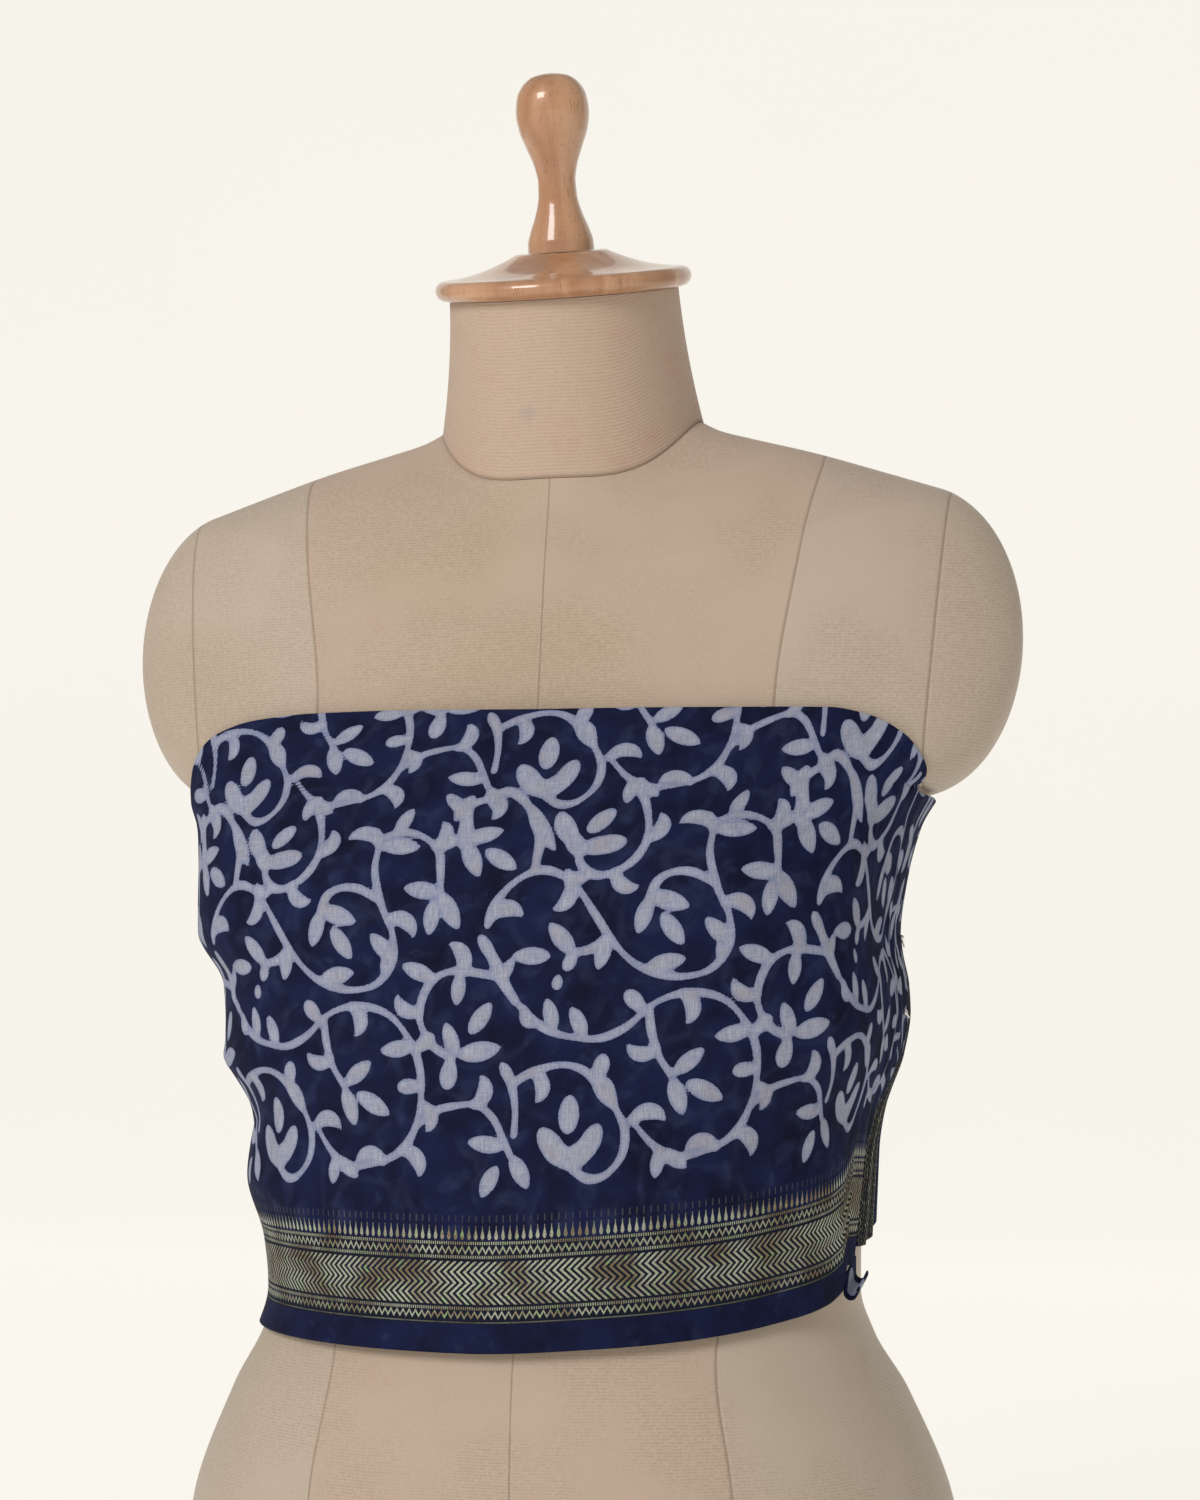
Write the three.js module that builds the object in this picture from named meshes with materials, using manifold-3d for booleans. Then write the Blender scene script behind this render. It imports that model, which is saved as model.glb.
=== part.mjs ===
// Saree cloth wound round a limbless dress form. Millimetres, +Z up, the front of the form faces -Y.
import * as THREE from 'three';
import { mergeVertices } from 'three/addons/utils/BufferGeometryUtils.js';
import Module from 'manifold-3d';

const wasm = await Module();
wasm.setup();

// Angle from +X at which the front lies
const FRONT = -90;

// Gap kept between pieces that meet, and the thickness of the doubled cloth
const SEAM_GAP = 0.3;
const CLOTH = 1.2;

// Closing board under the form
const BOARD = { height: 12, inset: 3 };

// Shoulder caps: an ellipse in front view, from the armpit to where the shoulder line begins
const CAP = { centreX: 155, reachX: 44, centreZ: 505.5, reachZ: 66, startAngle: -86, endAngle: 75 };
const ARMHOLE = { halfWidth: 163.5, tilt: 5, lift: 0.5 };
const capArc = (degrees) => [
  CAP.centreX + CAP.reachX * Math.cos(THREE.MathUtils.degToRad(degrees)),
  CAP.centreZ + CAP.reachZ * Math.sin(THREE.MathUtils.degToRad(degrees)),
];
const [ARMPIT_SIDE, ARMPIT] = capArc(CAP.startAngle);
const [RIDGE_SIDE, RIDGE_Z] = capArc(CAP.endAngle);
const SHOULDER = ARMPIT + CAP.endAngle - CAP.startAngle;

// Depths of the form on its centre line by height, from the shoulder line, and the powers of its section
const PROFILE = [
  { at: 12, front: 108, back: 110, squareF: 2.3, squareB: 2.2 },
  { at: 60, front: 112, back: 114, squareF: 2.3, squareB: 2.2 },
  { at: 128, front: 114, back: 109, squareF: 2.25, squareB: 2.2 },
  { at: 180, front: 111, back: 92, squareF: 2.2, squareB: 2.2 },
  { at: 222, front: 103, back: 80, squareF: 2.2, squareB: 2.2 },
  { at: 285, front: 94, back: 84, squareF: 2.3, squareB: 2.2 },
  { at: 345, front: 86, back: 93, squareF: 2.4, squareB: 2.3 },
  { at: 400, front: 79, back: 99, squareF: 2.45, squareB: 2.35 },
  { at: 441, front: 68, back: 101, squareF: 2.4, squareB: 2.3 },
  { at: 485, front: 58, back: 98, squareF: 2.1, squareB: 2.1 },
  { at: 534, front: 48, back: 90, squareF: 2, squareB: 2 },
  { at: 572, front: 38, back: 78, squareF: 2, squareB: 2 },
  { at: 610, front: 36, back: 62, squareF: 2, squareB: 2 },
];

// Half width of the form by height, up to the armpit
const BODY = [
  { at: 12, side: 173, middle: 7 },
  { at: 60, side: 178, middle: 7 },
  { at: 128, side: 170, middle: 7 },
  { at: 180, side: 150, middle: 4 },
  { at: 205, side: 135.5, middle: 0 },
  { at: 224, side: 129.5, middle: 0 },
  { at: 285, side: 130.5, middle: 0 },
  { at: 330, side: 138, middle: 0 },
  { at: 380, side: 139, middle: 0 },
  { at: 405, side: 143, middle: 0 },
  { at: 425, side: 148.5, middle: 0 },
  { at: ARMPIT, side: ARMPIT_SIDE, middle: 0 },
];

// The shoulder line from the end of the caps to the neck seam, by station. fall: how soon a section drops
const RIDGE = [
  { at: 0, side: RIDGE_SIDE, sideZ: RIDGE_Z, frontZ: 534, backZ: 512, middle: 0, fall: 1 },
  { at: 30, side: 138, sideZ: 578.8, frontZ: 545, backZ: 532, middle: 0.5, fall: 1.1 },
  { at: 60, side: 110, sideZ: 588.2, frontZ: 556, backZ: 554, middle: 2.5, fall: 1.3 },
  { at: 88, side: 82, sideZ: 596.5, frontZ: 565, backZ: 580, middle: 6, fall: 1.6 },
  { at: 104, side: 67, sideZ: 601.5, frontZ: 570, backZ: 599, middle: 9, fall: 1.8 },
  { at: 112, side: 59, sideZ: 606, frontZ: 574, backZ: 611, middle: 11, fall: 1.9 },
];
const NECK_SEAM = SHOULDER + RIDGE[RIDGE.length - 1].at;

// Bust of the form: a soft rise on each side of the centre front
const BUST = { angle: 43, spread: 25, height: 400, reachUp: 44, reachDown: 42, rise: 30 };

// Neck, its turned cap and the finial lean forward together
const NECK = { lean: 18.5, topY: -8.5, topZ: 661.5, topRadius: 50.5, waist: 1.2, seamDome: 6 };
const NECK_CAP = { radius: 56.5, edge: 8.4, rise: 9, shoulderRadius: 20, straight: 0.2 };
const FINIAL = [
  { up: 0, radius: 14.6 },
  { up: 4, radius: 14.4 },
  { up: 9, radius: 12.9 },
  { up: 16, radius: 10.2 },
  { up: 23, radius: 8.5 },
  { up: 29, radius: 8.2 },
  { up: 35, radius: 9.2 },
  { up: 43, radius: 12.1 },
  { up: 50.5, radius: 14.9 },
  { up: 57.2, radius: 15.9 },
  { up: 64, radius: 15 },
  { up: 69, radius: 12.2 },
  { up: 72.3, radius: 7.6 },
  { up: 73.2, radius: 3.6 },
  { up: 73.5, radius: 0 },
];

// The stretched cloth by height: half widths on the left and right, depths at the front and back. It bridges
// the hollows of the form, and on the left it holds two soft cross folds.
const STRETCH = [
  { at: 205, left: 129, right: 126, front: 112, back: 92, squareF: 2.3, squareB: 2.25 },
  { at: 223, left: 126, right: 122, front: 108.5, back: 88, squareF: 2.3, squareB: 2.25 },
  { at: 245, left: 130, right: 122, front: 107, back: 88, squareF: 2.35, squareB: 2.25 },
  { at: 273, left: 140, right: 124, front: 106, back: 90, squareF: 2.4, squareB: 2.3 },
  { at: 300, left: 136, right: 127, front: 106, back: 93, squareF: 2.5, squareB: 2.3 },
  { at: 327, left: 149, right: 141, front: 106.5, back: 97, squareF: 2.6, squareB: 2.35 },
  { at: 345, left: 148, right: 144.5, front: 107, back: 99, squareF: 2.7, squareB: 2.35 },
  { at: 357, left: 148.5, right: 143.5, front: 107, back: 100, squareF: 2.75, squareB: 2.35 },
  { at: 380, left: 160.5, right: 136, front: 106, back: 101, squareF: 2.85, squareB: 2.35 },
  { at: 400, left: 160.5, right: 137, front: 103, back: 102, squareF: 2.9, squareB: 2.35 },
  { at: 425, left: 163, right: 145, front: 93, back: 103.5, squareF: 2.8, squareB: 2.35 },
  { at: 440, left: 168, right: 150, front: 84, back: 103.5, squareF: 2.7, squareB: 2.3 },
  { at: 472, left: 168, right: 152, front: 67, back: 101, squareF: 2.4, squareB: 2.2 },
];
const BLEND = 34;
const CLEARANCE = 1.2;

// The hem by angle from +X: the front stretch rises to the pins, the back stretch lies higher under the end
const HEM = [
  { at: -190, z: 210 }, { at: -150, z: 208.5 }, { at: -100, z: 208 }, { at: -72, z: 211 },
  { at: -45, z: 216 }, { at: -24, z: 224 }, { at: -18, z: 230 }, { at: -12, z: 239 },
];
const BACK_HEM = [
  { at: -22, z: 246 }, { at: -12, z: 251 }, { at: 10, z: 252 }, { at: 30, z: 240 }, { at: 60, z: 222 },
  { at: 100, z: 212 }, { at: 170, z: 210 },
];

// The top edge dips under each shoulder cap
const TOP = [
  { at: -190, z: 435.5 }, { at: -171, z: 435.5 }, { at: -167.5, z: 445 }, { at: -165.5, z: 458 },
  { at: -163, z: 466 }, { at: -158, z: 471 }, { at: -150, z: 472.5 }, { at: -90, z: 471 },
  { at: -24, z: 470.5 }, { at: -19.5, z: 467 }, { at: -17, z: 460.5 }, { at: -14.5, z: 449 },
  { at: -11.5, z: 436.5 },
  { at: -9, z: 435.5 }, { at: 18, z: 435.5 }, { at: 28, z: 442 }, { at: 38, z: 461 }, { at: 50, z: 467 },
  { at: 130, z: 467 }, { at: 142, z: 461 }, { at: 152, z: 442 }, { at: 162, z: 435.5 }, { at: 170, z: 435.5 },
];

// Where the front stretch ends on the right, by height, and how far the back stretch runs on beneath it
const FRONT_END = [
  { at: 230, angle: -15.4 }, { at: 245, angle: -14 }, { at: 283, angle: -10.6 }, { at: 300, angle: -8 },
  { at: 340, angle: 0.5 }, { at: 400, angle: 2 }, { at: 436, angle: 3 },
];

// The two stretches meet edge to edge on the left. From the start of the squeeze on, the front stretch's
// columns close up towards its end.
const LEFT_JOIN = 170;
const JOIN_GAP = 0.08;
const SQUEEZE = { start: -19, lastHem: -3 };
const UNDERLAP = { end: -22, riseFrom: -38, riseTo: -26, slack: 0.5 };

// Gathers that the pins draw up: fine upright folds that fade away from the pins
const GATHER = { pitch: 3.6, rise: 1.15, from: -20, full: -10, height: 356, reach: 74 };
const BACK_GATHER = { pitch: 4.4, rise: 0.7, fadeFrom: 4, fadeTo: 26, lead: 6 };

// The gathered end that hangs behind the pins, in folds
const TAIL = {
  top: 377, bottom: 246, slant: 12, width: 15, narrow: 8, folds: 3, rise: 1.6, gap: 0.5, offset: 1,
};
const CORNER = { start: -17, width: 5, tuck: 3, drop: 4, roll: 2.3, turn: 200, straight: 0.5 };
const PINS = [
  { name: 'pin_upper', z: 374.5, angle: -5.2, slope: -24, sink: 0 },
  { name: 'pin_lower', z: 343.5, angle: -7.4, slope: -14, sink: 0.95 },
];
const PIN = { length: 11, radius: 0.4, head: 1.15, point: 2, bevel: 0.7, collar: 0.95, halfTurn: 2 };

const COLOURS = {
  calico: 0xbfad9b, beech: 0xd7a877, indigo: 0x27305a, steel: 0xc9cbd0,
};

const deg = THREE.MathUtils.degToRad;
const { smoothstep, lerp } = THREE.MathUtils;

// A smooth curve through one named column of a table, with the slopes limited so that it never overshoots
function column(rows, name) {
  const at = rows.map((row) => row.at);
  const value = rows.map((row) => row[name]);
  const grade = at.slice(1).map((x, i) => (value[i + 1] - value[i]) / (x - at[i]));
  const slope = value.map((_, i) => {
    if (i === 0) return grade[0];
    if (i === grade.length) return grade[i - 1];
    const [before, after] = [grade[i - 1], grade[i]];
    return before * after <= 0 ? 0 : (2 * before * after) / (before + after);
  });
  return (x) => {
    const i = Math.min(Math.max(at.findIndex((a) => a > x) - 1, 0), grade.length - 1);
    const last = x >= at[at.length - 1] ? grade.length - 1 : i;
    const span = at[last + 1] - at[last];
    const t = Math.min(Math.max((x - at[last]) / span, 0), 1);
    const [a, b] = [value[last], value[last + 1]];
    return a * (1 + 2 * t) * (1 - t) ** 2 + b * t * t * (3 - 2 * t)
      + span * (slope[last] * t * (1 - t) ** 2 - slope[last + 1] * t * t * (1 - t));
  };
}

// All the columns of a table at once
function table(rows) {
  const names = Object.keys(rows[0]).filter((name) => name !== 'at');
  const curves = Object.fromEntries(names.map((name) => [name, column(rows, name)]));
  return (x) => Object.fromEntries(names.map((name) => [name, curves[name](x)]));
}

const bodyAt = table(BODY);
const ridgeAt = table(RIDGE);
const profileAt = table(PROFILE);

// The section of the form at a station: its heights at the side, front and back, its half width and depths
function section(at) {
  let row;
  if (at <= ARMPIT) row = { ...bodyAt(at), sideZ: at, frontZ: at, backZ: at, fall: 1 };
  else if (at >= SHOULDER) row = ridgeAt(at - SHOULDER);
  else {
    const up = (at - ARMPIT) / (SHOULDER - ARMPIT);
    const [side, sideZ] = capArc(CAP.startAngle + at - ARMPIT);
    const [frontZ, backZ] = [lerp(ARMPIT, RIDGE[0].frontZ, up), lerp(ARMPIT, RIDGE[0].backZ, up)];
    row = { side, sideZ, middle: 0, frontZ, backZ, fall: 1 };
  }
  const [before, behind] = [profileAt(row.frontZ), profileAt(row.backZ)];
  const depths = { front: before.front + row.middle, back: behind.back - row.middle };
  return { ...row, ...depths, squareF: before.squareF, squareB: behind.squareB };
}

// Distance from the middle of a section to its curve, in a direction given by its angle from +X
function curveRadius(row, angle) {
  const [cos, sin] = [Math.cos(angle), Math.sin(angle)];
  const depth = sin < 0 ? row.front : row.back;
  const power = sin < 0 ? row.squareF : row.squareB;
  const side = cos < 0 ? (row.left ?? row.side) : (row.right ?? row.side);
  return (Math.abs(cos / side) ** power + Math.abs(sin / depth) ** power) ** (-1 / power);
}

// The swell of the bust at an angle and height
function bustRise(angle, z) {
  const turn = THREE.MathUtils.euclideanModulo(THREE.MathUtils.radToDeg(angle) - FRONT, 360);
  const across = (Math.min(turn, 360 - turn) - BUST.angle) / BUST.spread;
  const reach = z > BUST.height ? BUST.reachUp : BUST.reachDown;
  const up = (z - BUST.height) / reach;
  return BUST.rise * Math.exp(-across * across - up * up);
}

// A point of the form's surface
function formPoint(angle, at) {
  const row = section(at);
  const [cos, sin] = [Math.cos(angle), Math.sin(angle)];
  const [endZ, depth] = sin < 0 ? [row.frontZ, row.front] : [row.backZ, row.back];
  const plain = curveRadius(row, angle);
  const turned = Math.min((plain * sin / depth) ** 2, 1);
  const z = row.sideZ + (endZ - row.sideZ) * (1 - (1 - turned) ** row.fall);
  const radius = plain + bustRise(angle, z);
  return new THREE.Vector3(radius * cos, row.middle + radius * sin, z);
}

// The form's radius at an angle and a true height, found by halving along the stations
function formRadius(angle, z) {
  if (z <= ARMPIT) return curveRadius(section(z), angle) + bustRise(angle, z);
  const halvings = 24;
  let [low, high] = [ARMPIT, NECK_SEAM];
  for (let i = 0; i < halvings; i += 1) {
    const middle = (low + high) / 2;
    if (formPoint(angle, middle).z < z) low = middle;
    else high = middle;
  }
  const at = formPoint(angle, low);
  return Math.hypot(at.x, at.y);
}

// A closed body from a stack of rings, with a point at the middle of each end
function stackedBody(rings, bottomPoint, topPoint) {
  const count = rings[0].length;
  const points = [...rings.flat(), bottomPoint, topPoint];
  const [bottom, top] = [points.length - 2, points.length - 1];
  const faces = [];
  for (let j = 0; j < count; j += 1) {
    const k = (j + 1) % count;
    faces.push(bottom, k, j);
    for (let i = 0; i + 1 < rings.length; i += 1) {
      const [a, b] = [i * count + j, i * count + k];
      faces.push(a, b, b + count, a, b + count, a + count);
    }
    const last = (rings.length - 1) * count;
    faces.push(last + j, last + k, top);
  }
  return indexed(points, faces);
}

function indexed(points, faces) {
  const geometry = new THREE.BufferGeometry();
  const numbers = points.flatMap((p) => [p.x, p.y, p.z]);
  geometry.setAttribute('position', new THREE.Float32BufferAttribute(numbers, 3));
  geometry.setIndex(faces);
  return geometry;
}

// A wall of cloth on a grid of points: the inner face, the outer face and the four edges
function wall(inner, outer) {
  const [rows, across] = [inner.length, inner[0].length];
  const points = [...inner.flat(), ...outer.flat()];
  const shift = rows * across;
  const faces = [];
  const quad = (a, b, c, d) => faces.push(a, b, c, a, c, d);
  for (let i = 0; i + 1 < rows; i += 1) {
    for (let j = 0; j + 1 < across; j += 1) {
      const a = i * across + j;
      quad(a, a + across, a + across + 1, a + 1);
      quad(shift + a, shift + a + 1, shift + a + across + 1, shift + a + across);
    }
  }
  const edge = (list) => list.slice(1).forEach((b, i) => quad(list[i], b, b + shift, list[i] + shift));
  const row = (i) => inner[0].map((_, j) => i * across + j);
  const line = (j) => inner.map((_, i) => i * across + j);
  edge(row(0));
  edge(row(rows - 1).reverse());
  edge(line(0).reverse());
  edge(line(across - 1));
  return indexed(points, faces);
}

// Manifold bodies and back
function solid(geometry) {
  const plain = geometry.clone();
  plain.deleteAttribute('normal');
  plain.deleteAttribute('uv');
  const merged = mergeVertices(plain, 1e-4);
  return new wasm.Manifold(new wasm.Mesh({
    numProp: 3,
    vertProperties: new Float32Array(merged.attributes.position.array),
    triVerts: new Uint32Array(merged.index.array),
  }));
}

function surface(body) {
  const mesh = body.getMesh();
  const geometry = new THREE.BufferGeometry();
  geometry.setAttribute('position', new THREE.BufferAttribute(mesh.vertProperties, 3));
  geometry.setIndex(new THREE.BufferAttribute(mesh.triVerts, 1));
  return geometry;
}

function node(name, geometry, material) {
  geometry.deleteAttribute('uv');
  geometry.computeVertexNormals();
  const mesh = new THREE.Mesh(geometry, material);
  mesh.name = name;
  return mesh;
}

const calico = new THREE.MeshStandardMaterial({ color: COLOURS.calico, roughness: 0.85, metalness: 0 });
const beech = new THREE.MeshStandardMaterial({ color: COLOURS.beech, roughness: 0.3, metalness: 0 });
const indigo = new THREE.MeshStandardMaterial({ color: COLOURS.indigo, roughness: 0.8, metalness: 0 });
const steel = new THREE.MeshStandardMaterial({ color: COLOURS.steel, roughness: 0.25, metalness: 1 });

// Form: one smooth body, then the caps are parted from it along the tilted armholes
const AROUND = 60;
const ringAngles = Array.from({ length: AROUND }, (_, j) => (j / AROUND) * 2 * Math.PI);
const span = (from, to, steps) => Array.from({ length: steps + 1 }, (_, i) => lerp(from, to, i / steps));
const stations = [
  ...span(BOARD.height + SEAM_GAP, 300, 11),
  ...span(320, ARMPIT - 3, 6),
  ...span(ARMPIT, SHOULDER, 13),
  ...span(SHOULDER, NECK_SEAM, 5).slice(1),
];

function formBody() {
  const rings = stations.map((at) => ringAngles.map((angle) => formPoint(angle, at)));
  const seam = section(NECK_SEAM);
  const bottom = new THREE.Vector3(0, 0, BOARD.height + SEAM_GAP);
  const top = new THREE.Vector3(0, seam.middle, (seam.frontZ + seam.backZ) / 2 + NECK.seamDome);
  return { geometry: stackedBody(rings, bottom, top), top };
}

// A half space beyond the armhole of one side, as a large tilted box above the armpit
function beyondArmhole(side, gap) {
  const size = 400;
  const box = new THREE.BoxGeometry(size, size, size);
  box.translate(size / 2 + ARMHOLE.halfWidth + gap, 0, 0);
  box.rotateY(deg(ARMHOLE.tilt));
  box.translate(0, 0, CAP.centreZ);
  const above = new THREE.BoxGeometry(size * 4, size * 4, size);
  above.translate(0, 0, ARMPIT + ARMHOLE.lift + gap + size / 2);
  const reach = solid(box).intersect(solid(above));
  return side > 0 ? reach : reach.mirror([1, 0, 0]);
}

function formPieces() {
  const { geometry, top } = formBody();
  const whole = solid(geometry);
  const torso = whole.subtract(beyondArmhole(1, 0)).subtract(beyondArmhole(-1, 0));
  const caps = [['left', -1], ['right', 1]].map(([name, side]) => node(
    `form_cap_${name}`, surface(whole.intersect(beyondArmhole(side, SEAM_GAP))), calico));
  return { pieces: [node('form_torso', surface(torso), calico), ...caps], top };
}

// Neck: from the neck seam to a round, tilted top
function neckPiece(seamMiddle) {
  const lift = new THREE.Vector3(0, 0, SEAM_GAP);
  const tilt = new THREE.Matrix4().makeRotationX(deg(NECK.lean));
  const topMiddle = new THREE.Vector3(0, NECK.topY, NECK.topZ);
  const seam = ringAngles.map((angle) => formPoint(angle, NECK_SEAM).add(lift));
  const top = ringAngles.map((angle) => new THREE.Vector3(Math.cos(angle), Math.sin(angle), 0)
    .multiplyScalar(NECK.topRadius).applyMatrix4(tilt).add(topMiddle));
  const rings = span(0, 1, 5).map((t) => seam.map((p, j) => {
    const point = p.clone().lerp(top[j], t);
    const inward = new THREE.Vector3(point.x, point.y, 0).normalize();
    return point.addScaledVector(inward, -NECK.waist * 4 * t * (1 - t));
  }));
  return node('form_neck', stackedBody(rings, seamMiddle.clone().add(lift), topMiddle), calico);
}

// A turned piece on the leaning axis of the neck
function turned(name, profile, material, steps, lift) {
  const geometry = new THREE.LatheGeometry(profile.map(([r, z]) => new THREE.Vector2(r, z)), steps);
  geometry.rotateX(Math.PI / 2);
  const mesh = node(name, geometry, material);
  const axis = new THREE.Vector3(0, 0, 1).applyAxisAngle(new THREE.Vector3(1, 0, 0), deg(NECK.lean));
  mesh.rotation.x = deg(NECK.lean);
  mesh.position.set(0, NECK.topY, NECK.topZ).addScaledVector(axis, lift);
  return mesh;
}

function neckCap() {
  const { radius, edge, rise, shoulderRadius, straight } = NECK_CAP;
  const half = edge / 2;
  const rim = span(-90, 90, 6).map((a) => [
    radius - half + half * Math.cos(deg(a)), half + half * Math.sin(deg(a))]);
  const cove = span(0, 1, 6).slice(1).map((t) => [
    lerp(radius - half, shoulderRadius, t), edge + rise * (straight * t + (1 - straight) * t * t)]);
  return turned('neck_cap', [[0, 0], ...rim, ...cove, [0, edge + rise]], beech, 40, SEAM_GAP);
}

function finial() {
  const rows = FINIAL.map(({ up, radius }) => [radius, up]);
  const lift = 2 * SEAM_GAP + NECK_CAP.edge + NECK_CAP.rise;
  return turned('finial', [[0, 0], ...rows], beech, 28, lift);
}

function board() {
  const outline = ringAngles.map((angle) => {
    const p = formPoint(angle, BODY[0].at);
    return new THREE.Vector2(p.x, p.y).multiplyScalar(1 - BOARD.inset / Math.hypot(p.x, p.y));
  });
  const options = { depth: BOARD.height, bevelEnabled: false };
  const geometry = new THREE.ExtrudeGeometry(new THREE.Shape(outline), options);
  return node('form_board', geometry, beech);
}

// Cloth: the stretched section and the form, whichever lies further out, blended softly
const stretchAt = table(STRETCH);
const frontHemAt = column(HEM, 'z');
const backHemAt = column(BACK_HEM, 'z');
const topAt = column(TOP, 'z');
const frontEndAt = column(FRONT_END, 'angle');

function clothRadius(degrees, z) {
  const angle = deg(degrees);
  const body = formRadius(angle, z) + CLEARANCE;
  const stretched = curveRadius(stretchAt(z), angle);
  return (body ** BLEND + stretched ** BLEND) ** (1 / BLEND);
}

// Height of the gathers' folds
function gather(degrees, z, pitch, rise) {
  const near = Math.exp(-(((z - GATHER.height) / GATHER.reach) ** 2));
  return rise * near * (0.5 - 0.5 * Math.cos((degrees / pitch) * 2 * Math.PI));
}

// Radii of the inner face of each stretch
function backInner(degrees, z) {
  const fade = 1 - smoothstep(degrees, BACK_GATHER.fadeFrom, BACK_GATHER.fadeTo);
  const start = smoothstep(degrees, UNDERLAP.end, UNDERLAP.end + BACK_GATHER.lead);
  return clothRadius(degrees, z) + gather(degrees, z, BACK_GATHER.pitch, BACK_GATHER.rise) * fade * start;
}

function frontInner(degrees, z) {
  const over = smoothstep(degrees, UNDERLAP.riseFrom, UNDERLAP.riseTo);
  const lift = (CLOTH + SEAM_GAP + BACK_GATHER.rise + UNDERLAP.slack) * over;
  const folds = gather(degrees, z, GATHER.pitch, GATHER.rise) * smoothstep(degrees, GATHER.from, GATHER.full);
  return clothRadius(degrees, z) + lift + folds;
}

const cylinderPoint = (degrees, radius, z) => new THREE.Vector3(
  radius * Math.cos(deg(degrees)), radius * Math.sin(deg(degrees)), z);

// A stretch of cloth over columns and rows. place(u, v) gives a point of the inner face.
function stretch(name, place, columns, rows) {
  const step = 0.002;
  const inner = rows.map((v) => columns.map((u) => place(u, v)));
  const outer = rows.map((v, i) => columns.map((u, j) => {
    const across = place(u + step, v).sub(place(u - step, v));
    const up = place(u, v + step).sub(place(u, v - step));
    return inner[i][j].clone().addScaledVector(across.cross(up).normalize(), CLOTH);
  }));
  return node(name, wall(inner, outer), indigo);
}

const heightAt = (hem, angle, v) => lerp(hem(angle), topAt(angle), v);

function frontStretch() {
  const columns = [
    ...span(LEFT_JOIN - 360 + JOIN_GAP, -172, 3), ...span(-168.5, -158, 5), ...span(-153, -33, 22),
    ...span(-29, -20.5, 4), ...span(SQUEEZE.start, 0, 27),
  ];
  const place = (u, v) => {
    const z = heightAt(frontHemAt, Math.min(u, SQUEEZE.lastHem), v);
    const squeeze = Math.max(1 - u / SQUEEZE.start, 0);
    const angle = u + squeeze * frontEndAt(z);
    return cylinderPoint(angle, frontInner(angle, z), z);
  };
  return stretch('cloth_front', place, columns, span(0, 1, 20));
}

function backStretch() {
  const columns = [
    ...span(UNDERLAP.end, 20, 27), ...span(23, 47, 8), ...span(54, 130, 10), ...span(134, 163, 8),
    LEFT_JOIN - JOIN_GAP,
  ];
  const place = (u, v) => {
    const z = heightAt(backHemAt, u, v);
    return cylinderPoint(u, backInner(u, z), z);
  };
  return stretch('cloth_back', place, columns, span(0, 1, 17));
}

// The hanging end lies just outside the back stretch, behind the edge of the front stretch
function tailInner(degrees, z) {
  return clothRadius(degrees, z) + CLOTH + BACK_GATHER.rise + TAIL.gap;
}

function tailStretch() {
  const place = (u, v) => {
    const z = lerp(TAIL.bottom + TAIL.slant * u * u, TAIL.top, v);
    const start = frontEndAt(z) + TAIL.offset;
    const width = lerp(TAIL.width, TAIL.narrow, smoothstep(v, 0.2, 1));
    const angle = start + u * width;
    const folds = TAIL.rise * (0.5 - 0.5 * Math.cos(u * TAIL.folds * 2 * Math.PI));
    return cylinderPoint(angle, tailInner(angle, z) + folds, z);
  };
  return stretch('cloth_tail', place, span(0, 1, 21), span(0, 1, 12));
}

// The hem's corner, tucked under the end of the front stretch and rolled outwards below it
function cornerPiece() {
  const { start, width, tuck, drop, roll, turn, straight } = CORNER;
  const place = (u, v) => {
    const angle = start + u * width;
    const hem = frontHemAt(angle);
    const rolled = deg(turn * Math.max(straight - v, 0) / straight);
    const down = (1 - Math.max((v - straight) / (1 - straight), 0)) * (tuck + drop) - tuck;
    const radius = frontInner(angle, hem) - CLOTH - SEAM_GAP + roll * (1 - Math.cos(rolled));
    return cylinderPoint(angle, radius, hem - down - roll * Math.sin(rolled));
  };
  return stretch('cloth_corner', place, span(0, 1, 4), span(0, 1, 12));
}

// Pins lie on the ridges of the gathers, head towards the front
function pin({ name, z, angle, slope, sink }) {
  const { length, radius, head, point, bevel, collar, halfTurn } = PIN;
  const slant = head * bevel;
  const profile = [
    [0, -head], [slant, -slant], [head, 0], [slant, slant], [radius, head * collar], [radius, length - point],
    [0, length],
  ];
  const geometry = new THREE.LatheGeometry(profile.map(([r, y]) => new THREE.Vector2(r, y)), 10);
  const mesh = node(name, geometry, steel);
  const middle = angle + halfTurn;
  const ridges = frontInner(middle, z) - gather(middle, z, GATHER.pitch, GATHER.rise) + GATHER.rise + CLOTH;
  const out = ridges + SEAM_GAP + head - sink;
  const tangent = new THREE.Vector3(-Math.sin(deg(middle)), Math.cos(deg(middle)), 0);
  const along = tangent.multiplyScalar(Math.cos(deg(slope)));
  along.z = Math.sin(deg(slope));
  mesh.quaternion.setFromUnitVectors(new THREE.Vector3(0, 1, 0), along);
  mesh.position.copy(cylinderPoint(middle, out, z)).addScaledVector(along, -length / 2);
  return mesh;
}

const form = formPieces();
const part = new THREE.Group();
part.add(
  ...form.pieces, neckPiece(form.top), neckCap(), finial(), board(),
  frontStretch(), backStretch(), tailStretch(), cornerPiece(), ...PINS.map(pin),
);

export default part;
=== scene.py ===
"""A length of block-printed saree cloth wound on a limbless dress form.

Shapes are worked out in millimetres in the part's own frame, and become metres where a mesh is made.
Angles go round the upright axis from +X, so the front of the form lies at -90 degrees.
"""

import logging
import math
from dataclasses import dataclass, field
from enum import Enum
from typing import Any, Sequence

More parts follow.
